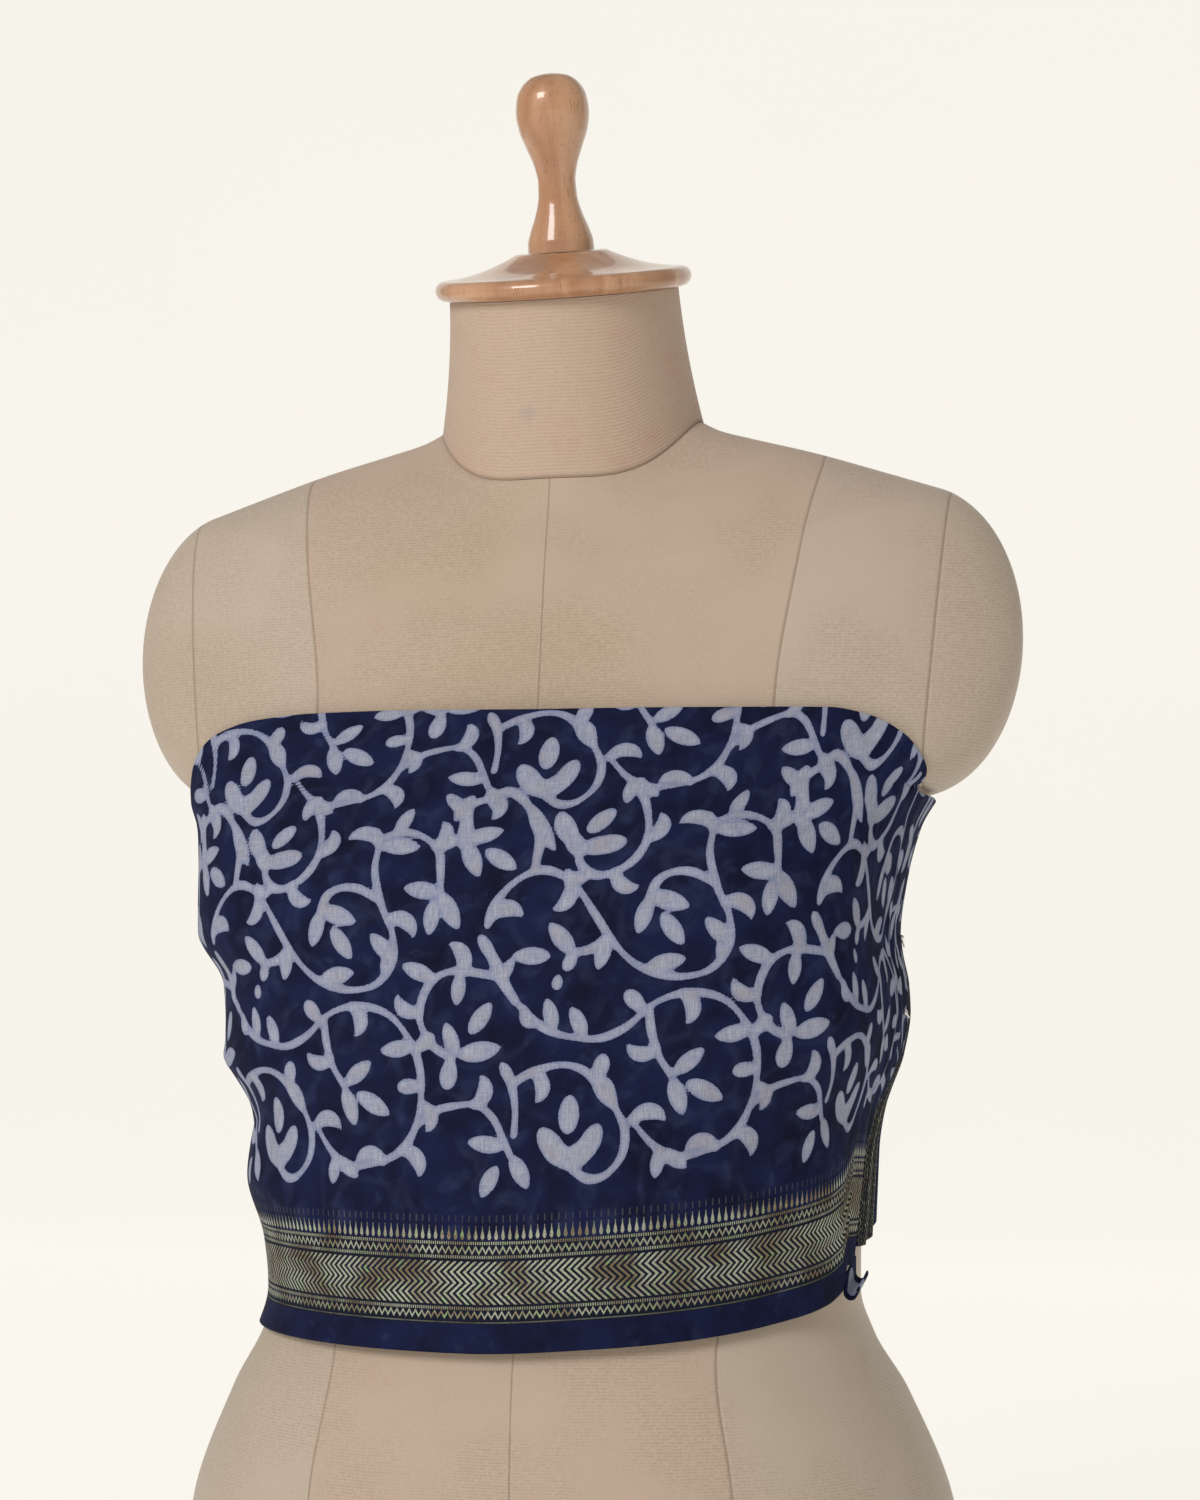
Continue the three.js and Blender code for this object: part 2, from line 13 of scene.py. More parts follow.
import bpy
import numpy as np
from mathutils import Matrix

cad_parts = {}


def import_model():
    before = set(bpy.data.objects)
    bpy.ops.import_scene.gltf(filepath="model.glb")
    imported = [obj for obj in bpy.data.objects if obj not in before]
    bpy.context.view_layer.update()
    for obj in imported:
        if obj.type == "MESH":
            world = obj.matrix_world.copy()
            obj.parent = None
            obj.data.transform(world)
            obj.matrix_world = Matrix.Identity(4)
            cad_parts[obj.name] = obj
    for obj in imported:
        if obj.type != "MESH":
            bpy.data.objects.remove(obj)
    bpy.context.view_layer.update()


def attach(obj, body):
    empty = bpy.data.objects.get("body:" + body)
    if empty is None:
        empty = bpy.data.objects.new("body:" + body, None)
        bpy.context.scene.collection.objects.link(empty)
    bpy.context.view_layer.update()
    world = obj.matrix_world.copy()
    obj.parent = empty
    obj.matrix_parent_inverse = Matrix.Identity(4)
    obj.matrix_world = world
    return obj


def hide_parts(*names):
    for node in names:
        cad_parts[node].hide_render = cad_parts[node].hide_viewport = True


MM = 0.001
FRONT = -90.0
LOG = logging.getLogger("saree")
Array = np.ndarray


def smoothstep(x: Array, low: float, high: float) -> Array:
    """Rise from 0 at low to 1 at high as 3t² - 2t³."""
    t = np.clip((x - low) / (high - low), 0.0, 1.0)
    return t * t * (3.0 - 2.0 * t)


@dataclass(frozen=True)
class Curve:
    """A smooth curve through a short table of places and values."""

    at: tuple[float, ...]
    value: tuple[float, ...]

    def __call__(self, x: Array | float) -> Array:
        """Cubic pieces, whose slope at a row is the harmonic mean of the grades beside it, or 0 at a peak.

        Args:
            x: Places to read the curve at; past the ends the end values hold.

        Returns:
            The values there.
        """
        at, value = np.array(self.at), np.array(self.value, float)
        grade = np.diff(value) / np.diff(at)
        before, after = grade[:-1], grade[1:]
        same = before * after > 0
        inner = np.where(same, 2 * before * after / np.where(same, before + after, 1), 0)
        slope = np.concatenate([grade[:1], inner, grade[-1:]])
        x = np.clip(np.asarray(x, float), at[0], at[-1])
        i = np.clip(np.searchsorted(at, x, side="right") - 1, 0, len(grade) - 1)
        width = at[i + 1] - at[i]
        t = (x - at[i]) / width
        straight = value[i] * (1 + 2 * t) * (1 - t) ** 2 + value[i + 1] * t * t * (3 - 2 * t)
        return straight + width * (slope[i] * t * (1 - t) ** 2 - slope[i + 1] * t * t * (1 - t))


def curves(names: str, *rows: Sequence[float]) -> dict[str, Curve]:
    """One curve for each named column of a table.

    Args:
        names: The column names after the first, which is the place.
        rows: The table's rows.

    Returns:
        The curves by name.
    """
    columns = tuple(zip(*rows))
    return {name: Curve(columns[0], column) for name, column in zip(names.split(), columns[1:])}


@dataclass(frozen=True)
class FormShape:
    """The dress form's surface, by angle and by station from the hem board to the neck seam."""

    foot: float = 12.3
    cap_centre: tuple[float, float] = (155.0, 505.5)
    cap_reach: tuple[float, float] = (44.0, 66.0)
    cap_arc: tuple[float, float] = (-86.0, 75.0)
    halvings: int = 24
    bust: tuple[float, float, float, float, float, float] = (43.0, 25.0, 400.0, 44.0, 42.0, 30.0)
    profile: dict[str, Curve] = field(default_factory=lambda: curves(
        "front back square_front square_back",
        (12, 108, 110, 2.3, 2.2), (60, 112, 114, 2.3, 2.2), (128, 114, 109, 2.25, 2.2),
        (180, 111, 92, 2.2, 2.2), (222, 103, 80, 2.2, 2.2), (285, 94, 84, 2.3, 2.2),
        (345, 86, 93, 2.4, 2.3), (400, 79, 99, 2.45, 2.35), (441, 68, 101, 2.4, 2.3),
        (485, 58, 98, 2.1, 2.1), (534, 48, 90, 2, 2), (572, 38, 78, 2, 2), (610, 36, 62, 2, 2)))
    ridge: dict[str, Curve] = field(default_factory=lambda: curves(
        "side side_z front_z back_z middle fall",
        (0, 166.388, 569.251, 534, 512, 0, 1), (30, 138, 578.8, 545, 532, 0.5, 1.1),
        (60, 110, 588.2, 556, 554, 2.5, 1.3), (88, 82, 596.5, 565, 580, 6, 1.6),
        (104, 67, 601.5, 570, 599, 9, 1.8), (112, 59, 606, 574, 611, 11, 1.9)))

    @property
    def armpit(self) -> tuple[float, float]:
        """Half width and height where the shoulder caps begin."""
        turn = math.radians(self.cap_arc[0])
        return (self.cap_centre[0] + self.cap_reach[0] * math.cos(turn),
                self.cap_centre[1] + self.cap_reach[1] * math.sin(turn))

    @property
    def shoulder(self) -> float:
        """Station where the caps end and the shoulder line begins."""
        return self.armpit[1] + self.cap_arc[1] - self.cap_arc[0]

    @property
    def neck_seam(self) -> float:
        """Station of the neck seam."""
        return self.shoulder + self.ridge["side"].at[-1]

    def body(self) -> dict[str, Curve]:
        """Half widths and middles up to the armpit."""
        side, height = self.armpit
        return curves("side middle", (12, 173, 7), (60, 178, 7), (128, 170, 7), (180, 150, 4),
                      (205, 135.5, 0), (224, 129.5, 0), (285, 130.5, 0), (330, 138, 0), (380, 139, 0),
                      (405, 143, 0), (425, 148.5, 0), (height, side, 0))

    def section(self, at: Array) -> dict[str, Array]:
        """The section at each station: level below the armpit, then tilted along the caps and shoulder line.

        Args:
            at: Stations.

        Returns:
            Half width, heights, depths, powers and fall by name.
        """
        body, height = self.body(), self.armpit[1]
        below, above = at <= height, at >= self.shoulder
        up = np.clip((at - height) / (self.shoulder - height), 0, 1)
        turn = np.radians(self.cap_arc[0] + np.clip(at, height, self.shoulder) - height)
        ridge = {name: curve(at - self.shoulder) for name, curve in self.ridge.items()}

        def pick(low: Array, cap: Array, high: Array) -> Array:
            """The value that holds at each station."""
            return np.where(below, low, np.where(above, high, cap))

        row = {
            "side": pick(body["side"](at), self.cap_centre[0] + self.cap_reach[0] * np.cos(turn),
                         ridge["side"]),
            "side_z": pick(at, self.cap_centre[1] + self.cap_reach[1] * np.sin(turn), ridge["side_z"]),
            "front_z": pick(at, height + (self.ridge["front_z"].value[0] - height) * up, ridge["front_z"]),
            "back_z": pick(at, height + (self.ridge["back_z"].value[0] - height) * up, ridge["back_z"]),
            "middle": pick(body["middle"](at), 0 * at, ridge["middle"]),
            "fall": pick(0 * at + 1, 0 * at + 1, ridge["fall"]),
        }
        row["front"] = self.profile["front"](row["front_z"]) + row["middle"]
        row["back"] = self.profile["back"](row["back_z"]) - row["middle"]
        row["square_front"] = self.profile["square_front"](row["front_z"])
        row["square_back"] = self.profile["square_back"](row["back_z"])
        return row

    def bust_rise(self, degrees: Array, z: Array) -> Array:
        """Swell of the bust: one bell curve across and one up, on each side of the centre front.

        Args:
            degrees: Angles.
            z: Heights.

        Returns:
            What the bust adds to the radius there.
        """
        angle, spread, height, reach_up, reach_down, rise = self.bust
        turn = np.mod(degrees - FRONT, 360)
        across = (np.minimum(turn, 360 - turn) - angle) / spread
        up = (z - height) / np.where(z > height, reach_up, reach_down)
        return rise * np.exp(-across ** 2 - up ** 2)

    def point(self, degrees: Array, at: Array) -> Array:
        """Points of the surface: a superellipse about the station's middle, tipped so that its ends reach
        their own heights, plus the swell of the bust.

        Args:
            degrees: Angles.
            at: Stations, of a shape that goes with the angles.

        Returns:
            Points along a last axis of three.
        """
        degrees, at = np.broadcast_arrays(np.asarray(degrees, float), np.asarray(at, float))
        row = self.section(at)
        cos, sin = np.cos(np.radians(degrees)), np.sin(np.radians(degrees))
        depth = np.where(sin < 0, row["front"], row["back"])
        end_z = np.where(sin < 0, row["front_z"], row["back_z"])
        plain = oval(cos, sin, row["side"], depth, np.where(sin < 0, row["square_front"], row["square_back"]))
        turned = np.minimum((plain * sin / depth) ** 2, 1)
        z = row["side_z"] + (end_z - row["side_z"]) * (1 - (1 - turned) ** row["fall"])
        radius = plain + self.bust_rise(degrees, z)
        return np.stack([radius * cos, row["middle"] + radius * sin, z], axis=-1)

    def radius(self, degrees: Array, z: Array) -> Array:
        """Radius at angles and true heights, found by halving along the stations.

        Args:
            degrees: Angles.
            z: Heights.

        Returns:
            Distances from the upright axis.
        """
        degrees, z = np.broadcast_arrays(np.asarray(degrees, float), np.asarray(z, float))
        low, high = np.full(z.shape, self.armpit[1]), np.full(z.shape, self.neck_seam)
        for _ in range(self.halvings):
            middle = (low + high) / 2
            under = self.point(degrees, middle)[..., 2] < z
            low, high = np.where(under, middle, low), np.where(under, high, middle)
        found = self.point(degrees, np.where(z <= self.armpit[1], z, low))
        return np.hypot(found[..., 0], found[..., 1])


def oval(cos: Array, sin: Array, side: Array, depth: Array, power: Array) -> Array:
    """Radius of a superellipse: the sum of both reaches' shares, each to the power, is one."""
    return (np.abs(cos / side) ** power + np.abs(sin / depth) ** power) ** (-1 / power)


FORM = FormShape()


@dataclass(frozen=True)
class Crease:
    """A soft fold in stretched cloth: where it lies, how it runs and how high it stands."""

    angle: float
    z: float
    length: float
    slope: float
    width: float
    rise: float

    def height(self, degrees: Array, z: Array, mean_radius: float = 138.0) -> Array:
        """A bell across the fold times a longer bell along it.

        Args:
            degrees: Angles.
            z: Heights.
            mean_radius: The radius at which an angle is measured as a length.

        Returns:
            The fold's height there.
        """
        across = np.radians(np.mod(degrees - self.angle + 180, 360) - 180) * mean_radius
        up = z - self.z
        cos, sin = math.cos(math.radians(self.slope)), math.sin(math.radians(self.slope))
        along, beside = across * cos + up * sin, up * cos - across * sin
        return self.rise * np.exp(-(beside / self.width) ** 2 - (along / self.length) ** 4)


@dataclass(frozen=True)
class ClothShape:
    """The wound cloth's surfaces, by angle and height."""

    wall: float = 1.2
    gap: float = 0.3
    clearance: float = 1.2
    blend: float = 34.0
    left_join: float = 170.0
    squeeze: float = -19.0
    last_hem: float = -3.0
    underlap: tuple[float, float, float, float] = (-22.0, -38.0, -26.0, 0.5)
    gather: tuple[float, float, float, float, float, float] = (3.6, 1.15, -20.0, -10.0, 356.0, 74.0)
    back_gather: tuple[float, float, float, float, float] = (4.4, 0.7, 4.0, 26.0, 6.0)
    back_creases: tuple[float, float] = (20.0, 40.0)
    stretch: dict[str, Curve] = field(default_factory=lambda: curves(
        "left right front back square_front square_back",
        (205, 129, 126, 112, 92, 2.3, 2.25), (223, 126, 122, 108.5, 88, 2.3, 2.25),
        (245, 130, 122, 107, 88, 2.35, 2.25), (273, 140, 124, 106, 90, 2.4, 2.3),
        (300, 136, 127, 106, 93, 2.5, 2.3), (327, 149, 141, 106.5, 97, 2.6, 2.35),
        (345, 148, 144.5, 107, 99, 2.7, 2.35), (357, 148.5, 143.5, 107, 100, 2.75, 2.35),
        (380, 160.5, 136, 106, 101, 2.85, 2.35), (400, 160.5, 137, 103, 102, 2.9, 2.35),
        (425, 163, 145, 93, 103.5, 2.8, 2.35), (440, 168, 150, 84, 103.5, 2.7, 2.3),
        (472, 168, 152, 67, 101, 2.4, 2.2)))
    front_hem: Curve = Curve((-190, -150, -100, -72, -45, -24, -18, -12),
                             (210, 208.5, 208, 211, 216, 224, 230, 239))
    back_hem: Curve = Curve((-22, -12, 10, 30, 60, 100, 170), (246, 251, 252, 240, 222, 212, 210))
    top: Curve = Curve(
        (-190, -171, -167.5, -165.5, -163, -158, -150, -90, -24, -19.5, -17, -14.5, -11.5, -9,
         18, 28, 38, 50, 130, 142, 152, 162, 170),
        (435.5, 435.5, 445, 458, 466, 471, 472.5, 471, 470.5, 467, 460.5, 449, 436.5, 435.5,
         435.5, 442, 461, 467, 467, 461, 442, 435.5, 435.5))
    front_end: Curve = Curve((230, 245, 283, 300, 340, 400, 436), (-15.4, -14, -10.6, -8, 0.5, 2, 3))
    creases: tuple[Crease, ...] = (
        Crease(-158, 322, 26, -14, 4.2, 1.0), Crease(-150, 352, 22, 12, 3.6, 0.8),
        Crease(-162, 296, 20, 8, 3.4, -0.7), Crease(-146, 268, 30, -20, 5.0, 0.9),
        Crease(-150, 246, 22, -10, 3.6, -0.6), Crease(-128, 282, 34, 16, 6.0, 0.6),
        Crease(-46, 330, 44, 10, 5.0, 0.7), Crease(-40, 300, 40, 28, 5.0, 0.8),
        Crease(-36, 372, 36, -12, 4.4, 0.7), Crease(-52, 262, 46, 34, 6.0, -0.6),
        Crease(60, 330, 40, 12, 5.0, 0.8), Crease(84, 300, 52, -8, 6.0, 0.7),
        Crease(118, 276, 44, 14, 5.2, 0.8), Crease(140, 340, 34, -16, 4.6, 0.9),
        Crease(152, 300, 26, 12, 4.0, 0.8), Crease(48, 262, 34, -20, 4.4, 0.7),
    )

    def radius(self, degrees: Array, z: Array) -> Array:
        """The form's radius and the stretched oval's, whichever is larger, joined by a high power mean.

        Args:
            degrees: Angles.
            z: Heights.

        Returns:
            Radius of the cloth's inner face without its folds.
        """
        cos, sin = np.cos(np.radians(degrees)), np.sin(np.radians(degrees))
        row = {name: curve(z) for name, curve in self.stretch.items()}
        oval_radius = oval(cos, sin, np.where(cos < 0, row["left"], row["right"]),
                           np.where(sin < 0, row["front"], row["back"]),
                           np.where(sin < 0, row["square_front"], row["square_back"]))
        body = FORM.radius(degrees, z) + self.clearance
        return (body ** self.blend + oval_radius ** self.blend) ** (1 / self.blend)

    def gathers(self, degrees: Array, z: Array, pitch: float, rise: float) -> Array:
        """Upright folds as a raised cosine round the form, fading as a bell above and below the pins.

        Args:
            degrees: Angles.
            z: Heights.
            pitch: Degrees from fold to fold.
            rise: Height of a fold.

        Returns:
            What the folds add to the radius.
        """
        near = np.exp(-((z - self.gather[4]) / self.gather[5]) ** 2)
        return rise * near * (0.5 - 0.5 * np.cos(degrees / pitch * 2 * np.pi))

    def folds(self, degrees: Array, z: Array) -> Array:
        """All the soft creases together."""
        return sum(crease.height(degrees, z) for crease in self.creases)

    def back(self, degrees: Array, z: Array) -> Array:
        """Outer radius of the back stretch: wound radius, gathers beside the pins, wall and creases.

        Args:
            degrees: Angles.
            z: Heights.

        Returns:
            The radius.
        """
        pitch, rise, fade_from, fade_to, lead = self.back_gather
        near = (1 - smoothstep(degrees, fade_from, fade_to)) * smoothstep(
            degrees, self.underlap[0], self.underlap[0] + lead)
        return (self.radius(degrees, z) + self.gathers(degrees, z, pitch, rise) * near + self.wall
                + self.folds(degrees, z) * smoothstep(degrees, *self.back_creases))

    def front(self, degrees: Array, z: Array) -> Array:
        """Outer radius of the front stretch, lifted where it lies over the back stretch.

        Args:
            degrees: Angles.
            z: Heights.

        Returns:
            The radius.
        """
        over = smoothstep(degrees, self.underlap[1], self.underlap[2])
        lift = (self.wall + self.gap + self.back_gather[1] + self.underlap[3]) * over
        pitch, rise, begin, full = self.gather[:4]
        gathers = self.gathers(degrees, z, pitch, rise) * smoothstep(degrees, begin, full)
        return self.radius(degrees, z) + lift + gathers + self.wall + self.folds(degrees, z)


CLOTH = ClothShape()


def cylinder(degrees: Array, radius: Array, z: Array) -> Array:
    """Points from angle, radius and height."""
    turn = np.radians(degrees)
    return np.stack(np.broadcast_arrays(radius * np.cos(turn), radius * np.sin(turn), z), axis=-1)


def grid_quads(rows: int, across: int, closed: bool = False) -> Array:
    """Faces of a grid whose rows go up and whose columns go round, facing outwards.

    Args:
        rows: Number of rows of points.
        across: Number of points in a row.
        closed: Whether the last column joins the first.

    Returns:
        Four point numbers for each face.
    """
    i, j = np.meshgrid(np.arange(rows - 1), np.arange(across if closed else across - 1), indexing="ij")
    right = (j + 1) % across
    return np.stack([i * across + j, i * across + right, (i + 1) * across + right, (i + 1) * across + j],
                    axis=-1).reshape(-1, 4)


def build(name: str, points: Array, faces: list[Sequence[int]] | Array, uv: Array | None = None,
          marks: dict[str, Array] | None = None, sharp: float | None = 40.0) -> bpy.types.Object:
    """A mesh object at the origin from points in millimetres.

    Args:
        name: The object's name.
        points: Points, three numbers each.
        faces: Point numbers of each face.
        uv: Two numbers in metres for each point, for the piece's own UV map.
        marks: Further numbers for each point, by attribute name.
        sharp: Angle in degrees past which an edge stays sharp, or None for all smooth.

    Returns:
        The object, linked to the scene.
    """
    mesh = bpy.data.meshes.new(name)
    flat = points.reshape(-1, 3) * MM
    mesh.from_pydata(flat.tolist(), [], faces.tolist() if isinstance(faces, np.ndarray) else faces)
    mesh.update()
    if uv is not None:
        corner = np.empty(len(mesh.loops), np.int32)
        mesh.loops.foreach_get("vertex_index", corner)
        layer = mesh.uv_layers.new(name="cloth")
        layer.data.foreach_set("uv", uv.reshape(-1, 2)[corner].astype(np.float32).ravel())
    for mark, values in (marks or {}).items():
        layer = mesh.attributes.new(mark, "FLOAT", "POINT")
        layer.data.foreach_set("value", values.astype(np.float32).ravel())
    mesh.shade_smooth()
    if sharp is not None:
        mesh.set_sharp_from_angle(angle=math.radians(sharp))
    made = bpy.data.objects.new(name, mesh)
    bpy.context.scene.collection.objects.link(made)
    return made


def stack(name: str, rings: Array, bottom: Array, top: Array, **extra: Any) -> bpy.types.Object:
    """A closed body from level rings of points and a point at the middle of each end.

    Args:
        name: The object's name.
        rings: Rings from the bottom up, each going round from +X.
        bottom: Middle of the lower end.
        top: Middle of the upper end.
        extra: Passed on to build; marks cover the rings alone and get the end rings' means at the ends.

    Returns:
        The object.
    """
    rows, across = rings.shape[:2]
    points = np.concatenate([rings.reshape(-1, 3), bottom[None], top[None]])
    low, high = rows * across, rows * across + 1
    j = np.arange(across)
    right = (j + 1) % across
    last = (rows - 1) * across
    faces = grid_quads(rows, across, closed=True).tolist()
    faces += np.stack([np.full(across, low), right, j], axis=-1).tolist()
    faces += np.stack([last + j, last + right, np.full(across, high)], axis=-1).tolist()
    marks = {mark: np.concatenate([values.ravel(), [values[0].mean(), values[-1].mean()]])
             for mark, values in extra.pop("marks", {}).items()}
    return build(name, points, faces, marks=marks, **extra)


class Number:
    """A number socket whose operators add Math nodes."""

    def __init__(self, paint: "Paint", socket: bpy.types.NodeSocket) -> None:
        """Keep the socket and the material it belongs to."""
        self.paint = paint
        self.socket = socket

    def math(self, operation: str, *others: "Number | float", clamp: bool = False) -> "Number":
        """One Math node of this number and others.

        Args:
            operation: The Math node's operation.
            others: The further inputs in order.
            clamp: Whether the result is held between 0 and 1.

        Returns:
            The node's result.
        """
        node = self.paint.node("ShaderNodeMath", {"operation": operation, "use_clamp": clamp},
                               dict(enumerate((self, *others))))
        return Number(self.paint, node.outputs[0])

    def __add__(self, other: "Number | float") -> "Number":
        """Sum."""
        return self.math("ADD", other)

    __radd__ = __add__

    def __mul__(self, other: "Number | float") -> "Number":
        """Product."""
        return self.math("MULTIPLY", other)

    __rmul__ = __mul__

    def __sub__(self, other: "Number | float") -> "Number":
        """Difference."""
        return self.math("SUBTRACT", other)

    def __rsub__(self, other: float) -> "Number":
        """A plain number less this one, as this one times -1 plus it."""
        return self.math("MULTIPLY_ADD", -1.0, other)

    def __truediv__(self, other: "Number | float") -> "Number":
        """Quotient."""
        return self.math("DIVIDE", other)

    def __abs__(self) -> "Number":
        """Size without its sign."""
        return self.math("ABSOLUTE")

    def at_most(self, other: "Number | float") -> "Number":
        """The smaller of the two."""
        return self.math("MINIMUM", other)

    def at_least(self, other: "Number | float") -> "Number":
        """The larger of the two."""
        return self.math("MAXIMUM", other)

    def tooth(self, period: float) -> "Number":
        """A triangle wave from 0 at each whole period to 1 half way between."""
        share = (self / period).math("FRACT")
        return 1.0 - abs(share * 2.0 - 1.0)

    def rise(self, low: float, high: float) -> "Number":
        """From 0 at low to 1 at high along a smooth step; falls where high is the lower."""
        node = self.paint.node("ShaderNodeMapRange", {"interpolation_type": "SMOOTHSTEP"}, {
            "Value": self, "From Min": min(low, high), "From Max": max(low, high),
            "To Min": float(low > high), "To Max": float(low < high)})
        return Number(self.paint, node.outputs[0])

    def band(self, low: float, high: float, soft: float = 0.15) -> "Number":
        """1 between two limits, with soft edges."""
        return self.rise(low - soft, low + soft) * self.rise(high + soft, high - soft)


class Paint:
    """Builds one material's nodes."""

    def __init__(self, name: str) -> None:
        """Start an empty node material."""
        self.material = bpy.data.materials.new(name)
        self.material.use_nodes = True
        self.tree = self.material.node_tree
        self.tree.nodes.clear()

    def node(self, kind: str, settings: dict[str, Any] | None = None,
             inputs: dict[str | int, Any] | None = None) -> bpy.types.Node:
        """Add a node.

        Args:
            kind: The node's type.
            settings: Its settings, set first.
            inputs: Values or links of its sockets, by name or number.

        Returns:
            The node.
        """
        node = self.tree.nodes.new(kind)
        for key, value in (settings or {}).items():
            setattr(node, key, value)
        for key, value in (inputs or {}).items():
            if isinstance(value, Number):
                value = value.socket
            if isinstance(value, bpy.types.NodeSocket):
                self.tree.links.new(value, node.inputs[key])
            else:
                node.inputs[key].default_value = value
        return node

    def number(self, node: bpy.types.Node, output: str | int = 0) -> Number:
        """A node's output as a number."""
        return Number(self, node.outputs[output])

    def place(self) -> bpy.types.NodeSocket:
        """The object's own coordinates, in metres."""
        return self.node("ShaderNodeTexCoord").outputs["Object"]

    def height(self) -> Number:
        """Millimetres up from the object's own origin."""
        return self.number(self.node("ShaderNodeSeparateXYZ", inputs={0: self.place()}), 2) * 1000.0

    def cloth_place(self) -> tuple[Number, Number]:
        """Millimetres along the cloth and up from its hem, from the piece's UV map."""
        apart = self.node("ShaderNodeSeparateXYZ", inputs={0: self.node(
            "ShaderNodeUVMap", {"uv_map": "cloth"}).outputs[0]})
        return self.number(apart, 0) * 1000.0, self.number(apart, 1) * 1000.0

    def mark(self, name: str) -> Number:
        """A number stored on the mesh's points."""
        return self.number(self.node("ShaderNodeAttribute", {"attribute_name": name}), "Fac")

    def vector(self, x: Number | float, y: Number | float, z: Number | float = 0.0) -> bpy.types.NodeSocket:
        """A vector from three numbers."""
        return self.node("ShaderNodeCombineXYZ", inputs={0: x, 1: y, 2: z}).outputs[0]

    def scaled(self, vector: bpy.types.NodeSocket, by: tuple[float, float, float],
               turn: tuple[float, float, float] = (0.0, 0.0, 0.0)) -> bpy.types.NodeSocket:
        """A vector stretched along each axis, then turned.

        Args:
            vector: The vector.
            by: Factor along each axis.
            turn: Angles about each axis, in radians.

        Returns:
            The new vector.
        """
        return self.node("ShaderNodeMapping", inputs={
            "Vector": vector, "Rotation": turn, "Scale": by}).outputs[0]

    def noise(self, vector: bpy.types.NodeSocket, scale: float, detail: float = 2.0, rough: float = 0.5,
              bend: float = 0.0) -> Number:
        """Cloudy noise about one half.

        Args:
            vector: Where it is read.
            scale: How fine it is.
            detail: Number of finer layers.
            rough: Strength of each finer layer.
            bend: How far the places are stirred.

        Returns:
            The noise.
        """
        return self.number(self.node("ShaderNodeTexNoise", inputs={
            "Vector": vector, "Scale": scale, "Detail": detail, "Roughness": rough, "Distortion": bend}))

    def mix(self, share: Number | float, first: Any, second: Any, way: str = "MIX") -> bpy.types.NodeSocket:
        """A colour between two.

        Args:
            share: 0 for the first and 1 for the second.
            first: A link or three numbers.
            second: A link or three numbers.
            way: The Mix node's way of blending.

        Returns:
            The colour.
        """
        def whole(colour: Any) -> Any:
            """A colour with its fourth number, if it is not a link."""
            return colour if isinstance(colour, bpy.types.NodeSocket) else (*colour, 1.0)

        return self.node("ShaderNodeMix", {"data_type": "RGBA", "blend_type": way}, {
            0: share, 6: whole(first), 7: whole(second)}).outputs[2]

    def bump(self, height: Number, distance: float, strength: float = 1.0,
             below: bpy.types.NodeSocket | None = None) -> bpy.types.NodeSocket:
        """A bump of so many metres for each unit of height.

        Args:
            height: The height.
            distance: Metres for a height of 1.
            strength: Share of the bump that is used.
            below: A normal that this bump lies on.

        Returns:
            The normal.
        """
        inputs = {"Height": height, "Distance": distance, "Strength": strength}
        if below is not None:
            inputs["Normal"] = below
        return self.node("ShaderNodeBump", inputs=inputs).outputs[0]

    def finish(self, **sockets: Any) -> bpy.types.Material:
        """Close the material with a principled surface.

        Args:
            sockets: Its sockets, with underscores for spaces; three numbers are a colour.

        Returns:
            The material.
        """
        inputs = {}
        for key, value in sockets.items():
            flat = isinstance(value, tuple) and len(value) == 3
            inputs[key.replace("_", " ")] = (*value, 1.0) if flat else value
        shader = self.node("ShaderNodeBsdfPrincipled", inputs=inputs)
        self.node("ShaderNodeOutputMaterial", inputs={"Surface": shader.outputs[0]})
        return self.material


def linear(red: int, green: int, blue: int) -> tuple[float, float, float]:
    """A screen colour of 0 to 255 as linear light, by the usual curve."""
    return tuple(v / 255 / 12.92 if v < 11 else ((v / 255 + 0.055) / 1.055) ** 2.4
                 for v in (red, green, blue))


MARK_STEP = 0.6
STEM_STEPS = 22


class Taper(Enum):
    """How a mark's half width runs along it."""

    LEAF = "leaf"
    HOOK = "hook"
    KNOB = "knob"
    BUD = "bud"

    def width(self, t: Array) -> Array:
        """Pointed at both ends for a leaf, thick with a sharp tip for a hook, swelling to a round end for a
        knob, and an oval for a bud; each is a power of a sine.

        Args:
            t: Shares of the length.

        Returns:
            Shares of the full half width.
        """
        if self is Taper.LEAF:
            return np.sin(np.pi * t ** 0.9) ** 0.85
        if self is Taper.BUD:
            return np.sin(np.pi * t ** 0.9) ** 0.6
        if self is Taper.KNOB:
            return 0.3 * (1 - t) + 0.95 * np.sin(np.pi * t ** 1.7) ** 0.62
        return (0.5 + 0.5 * np.sin(np.pi * np.minimum(t / 0.88, 1.0) ** 1.25)) * (1 - t ** 4) ** 0.7


@dataclass(frozen=True)
class Mark:
    """One mark of the block: where it starts, its heading, length, turn and half width."""

    x: float
    y: float
    heading: float
    length: float
    turn: float
    wide: float
    taper: Taper

    def path(self) -> Array:
        """Points along the mark with their half widths: its heading turns evenly, and its steps add up."""
        count = int(self.length / MARK_STEP) + 4
        t = np.linspace(0, 1, count)
        heading = np.radians(self.heading + self.turn * (t[:-1] + t[1:]) / 2)
        step = self.length / (count - 1)
        x = self.x + np.concatenate([[0], np.cumsum(step * np.cos(heading))])
        y = self.y + np.concatenate([[0], np.cumsum(step * np.sin(heading))])
        return np.stack([x, y, self.wide * self.taper.width(t)], axis=-1)


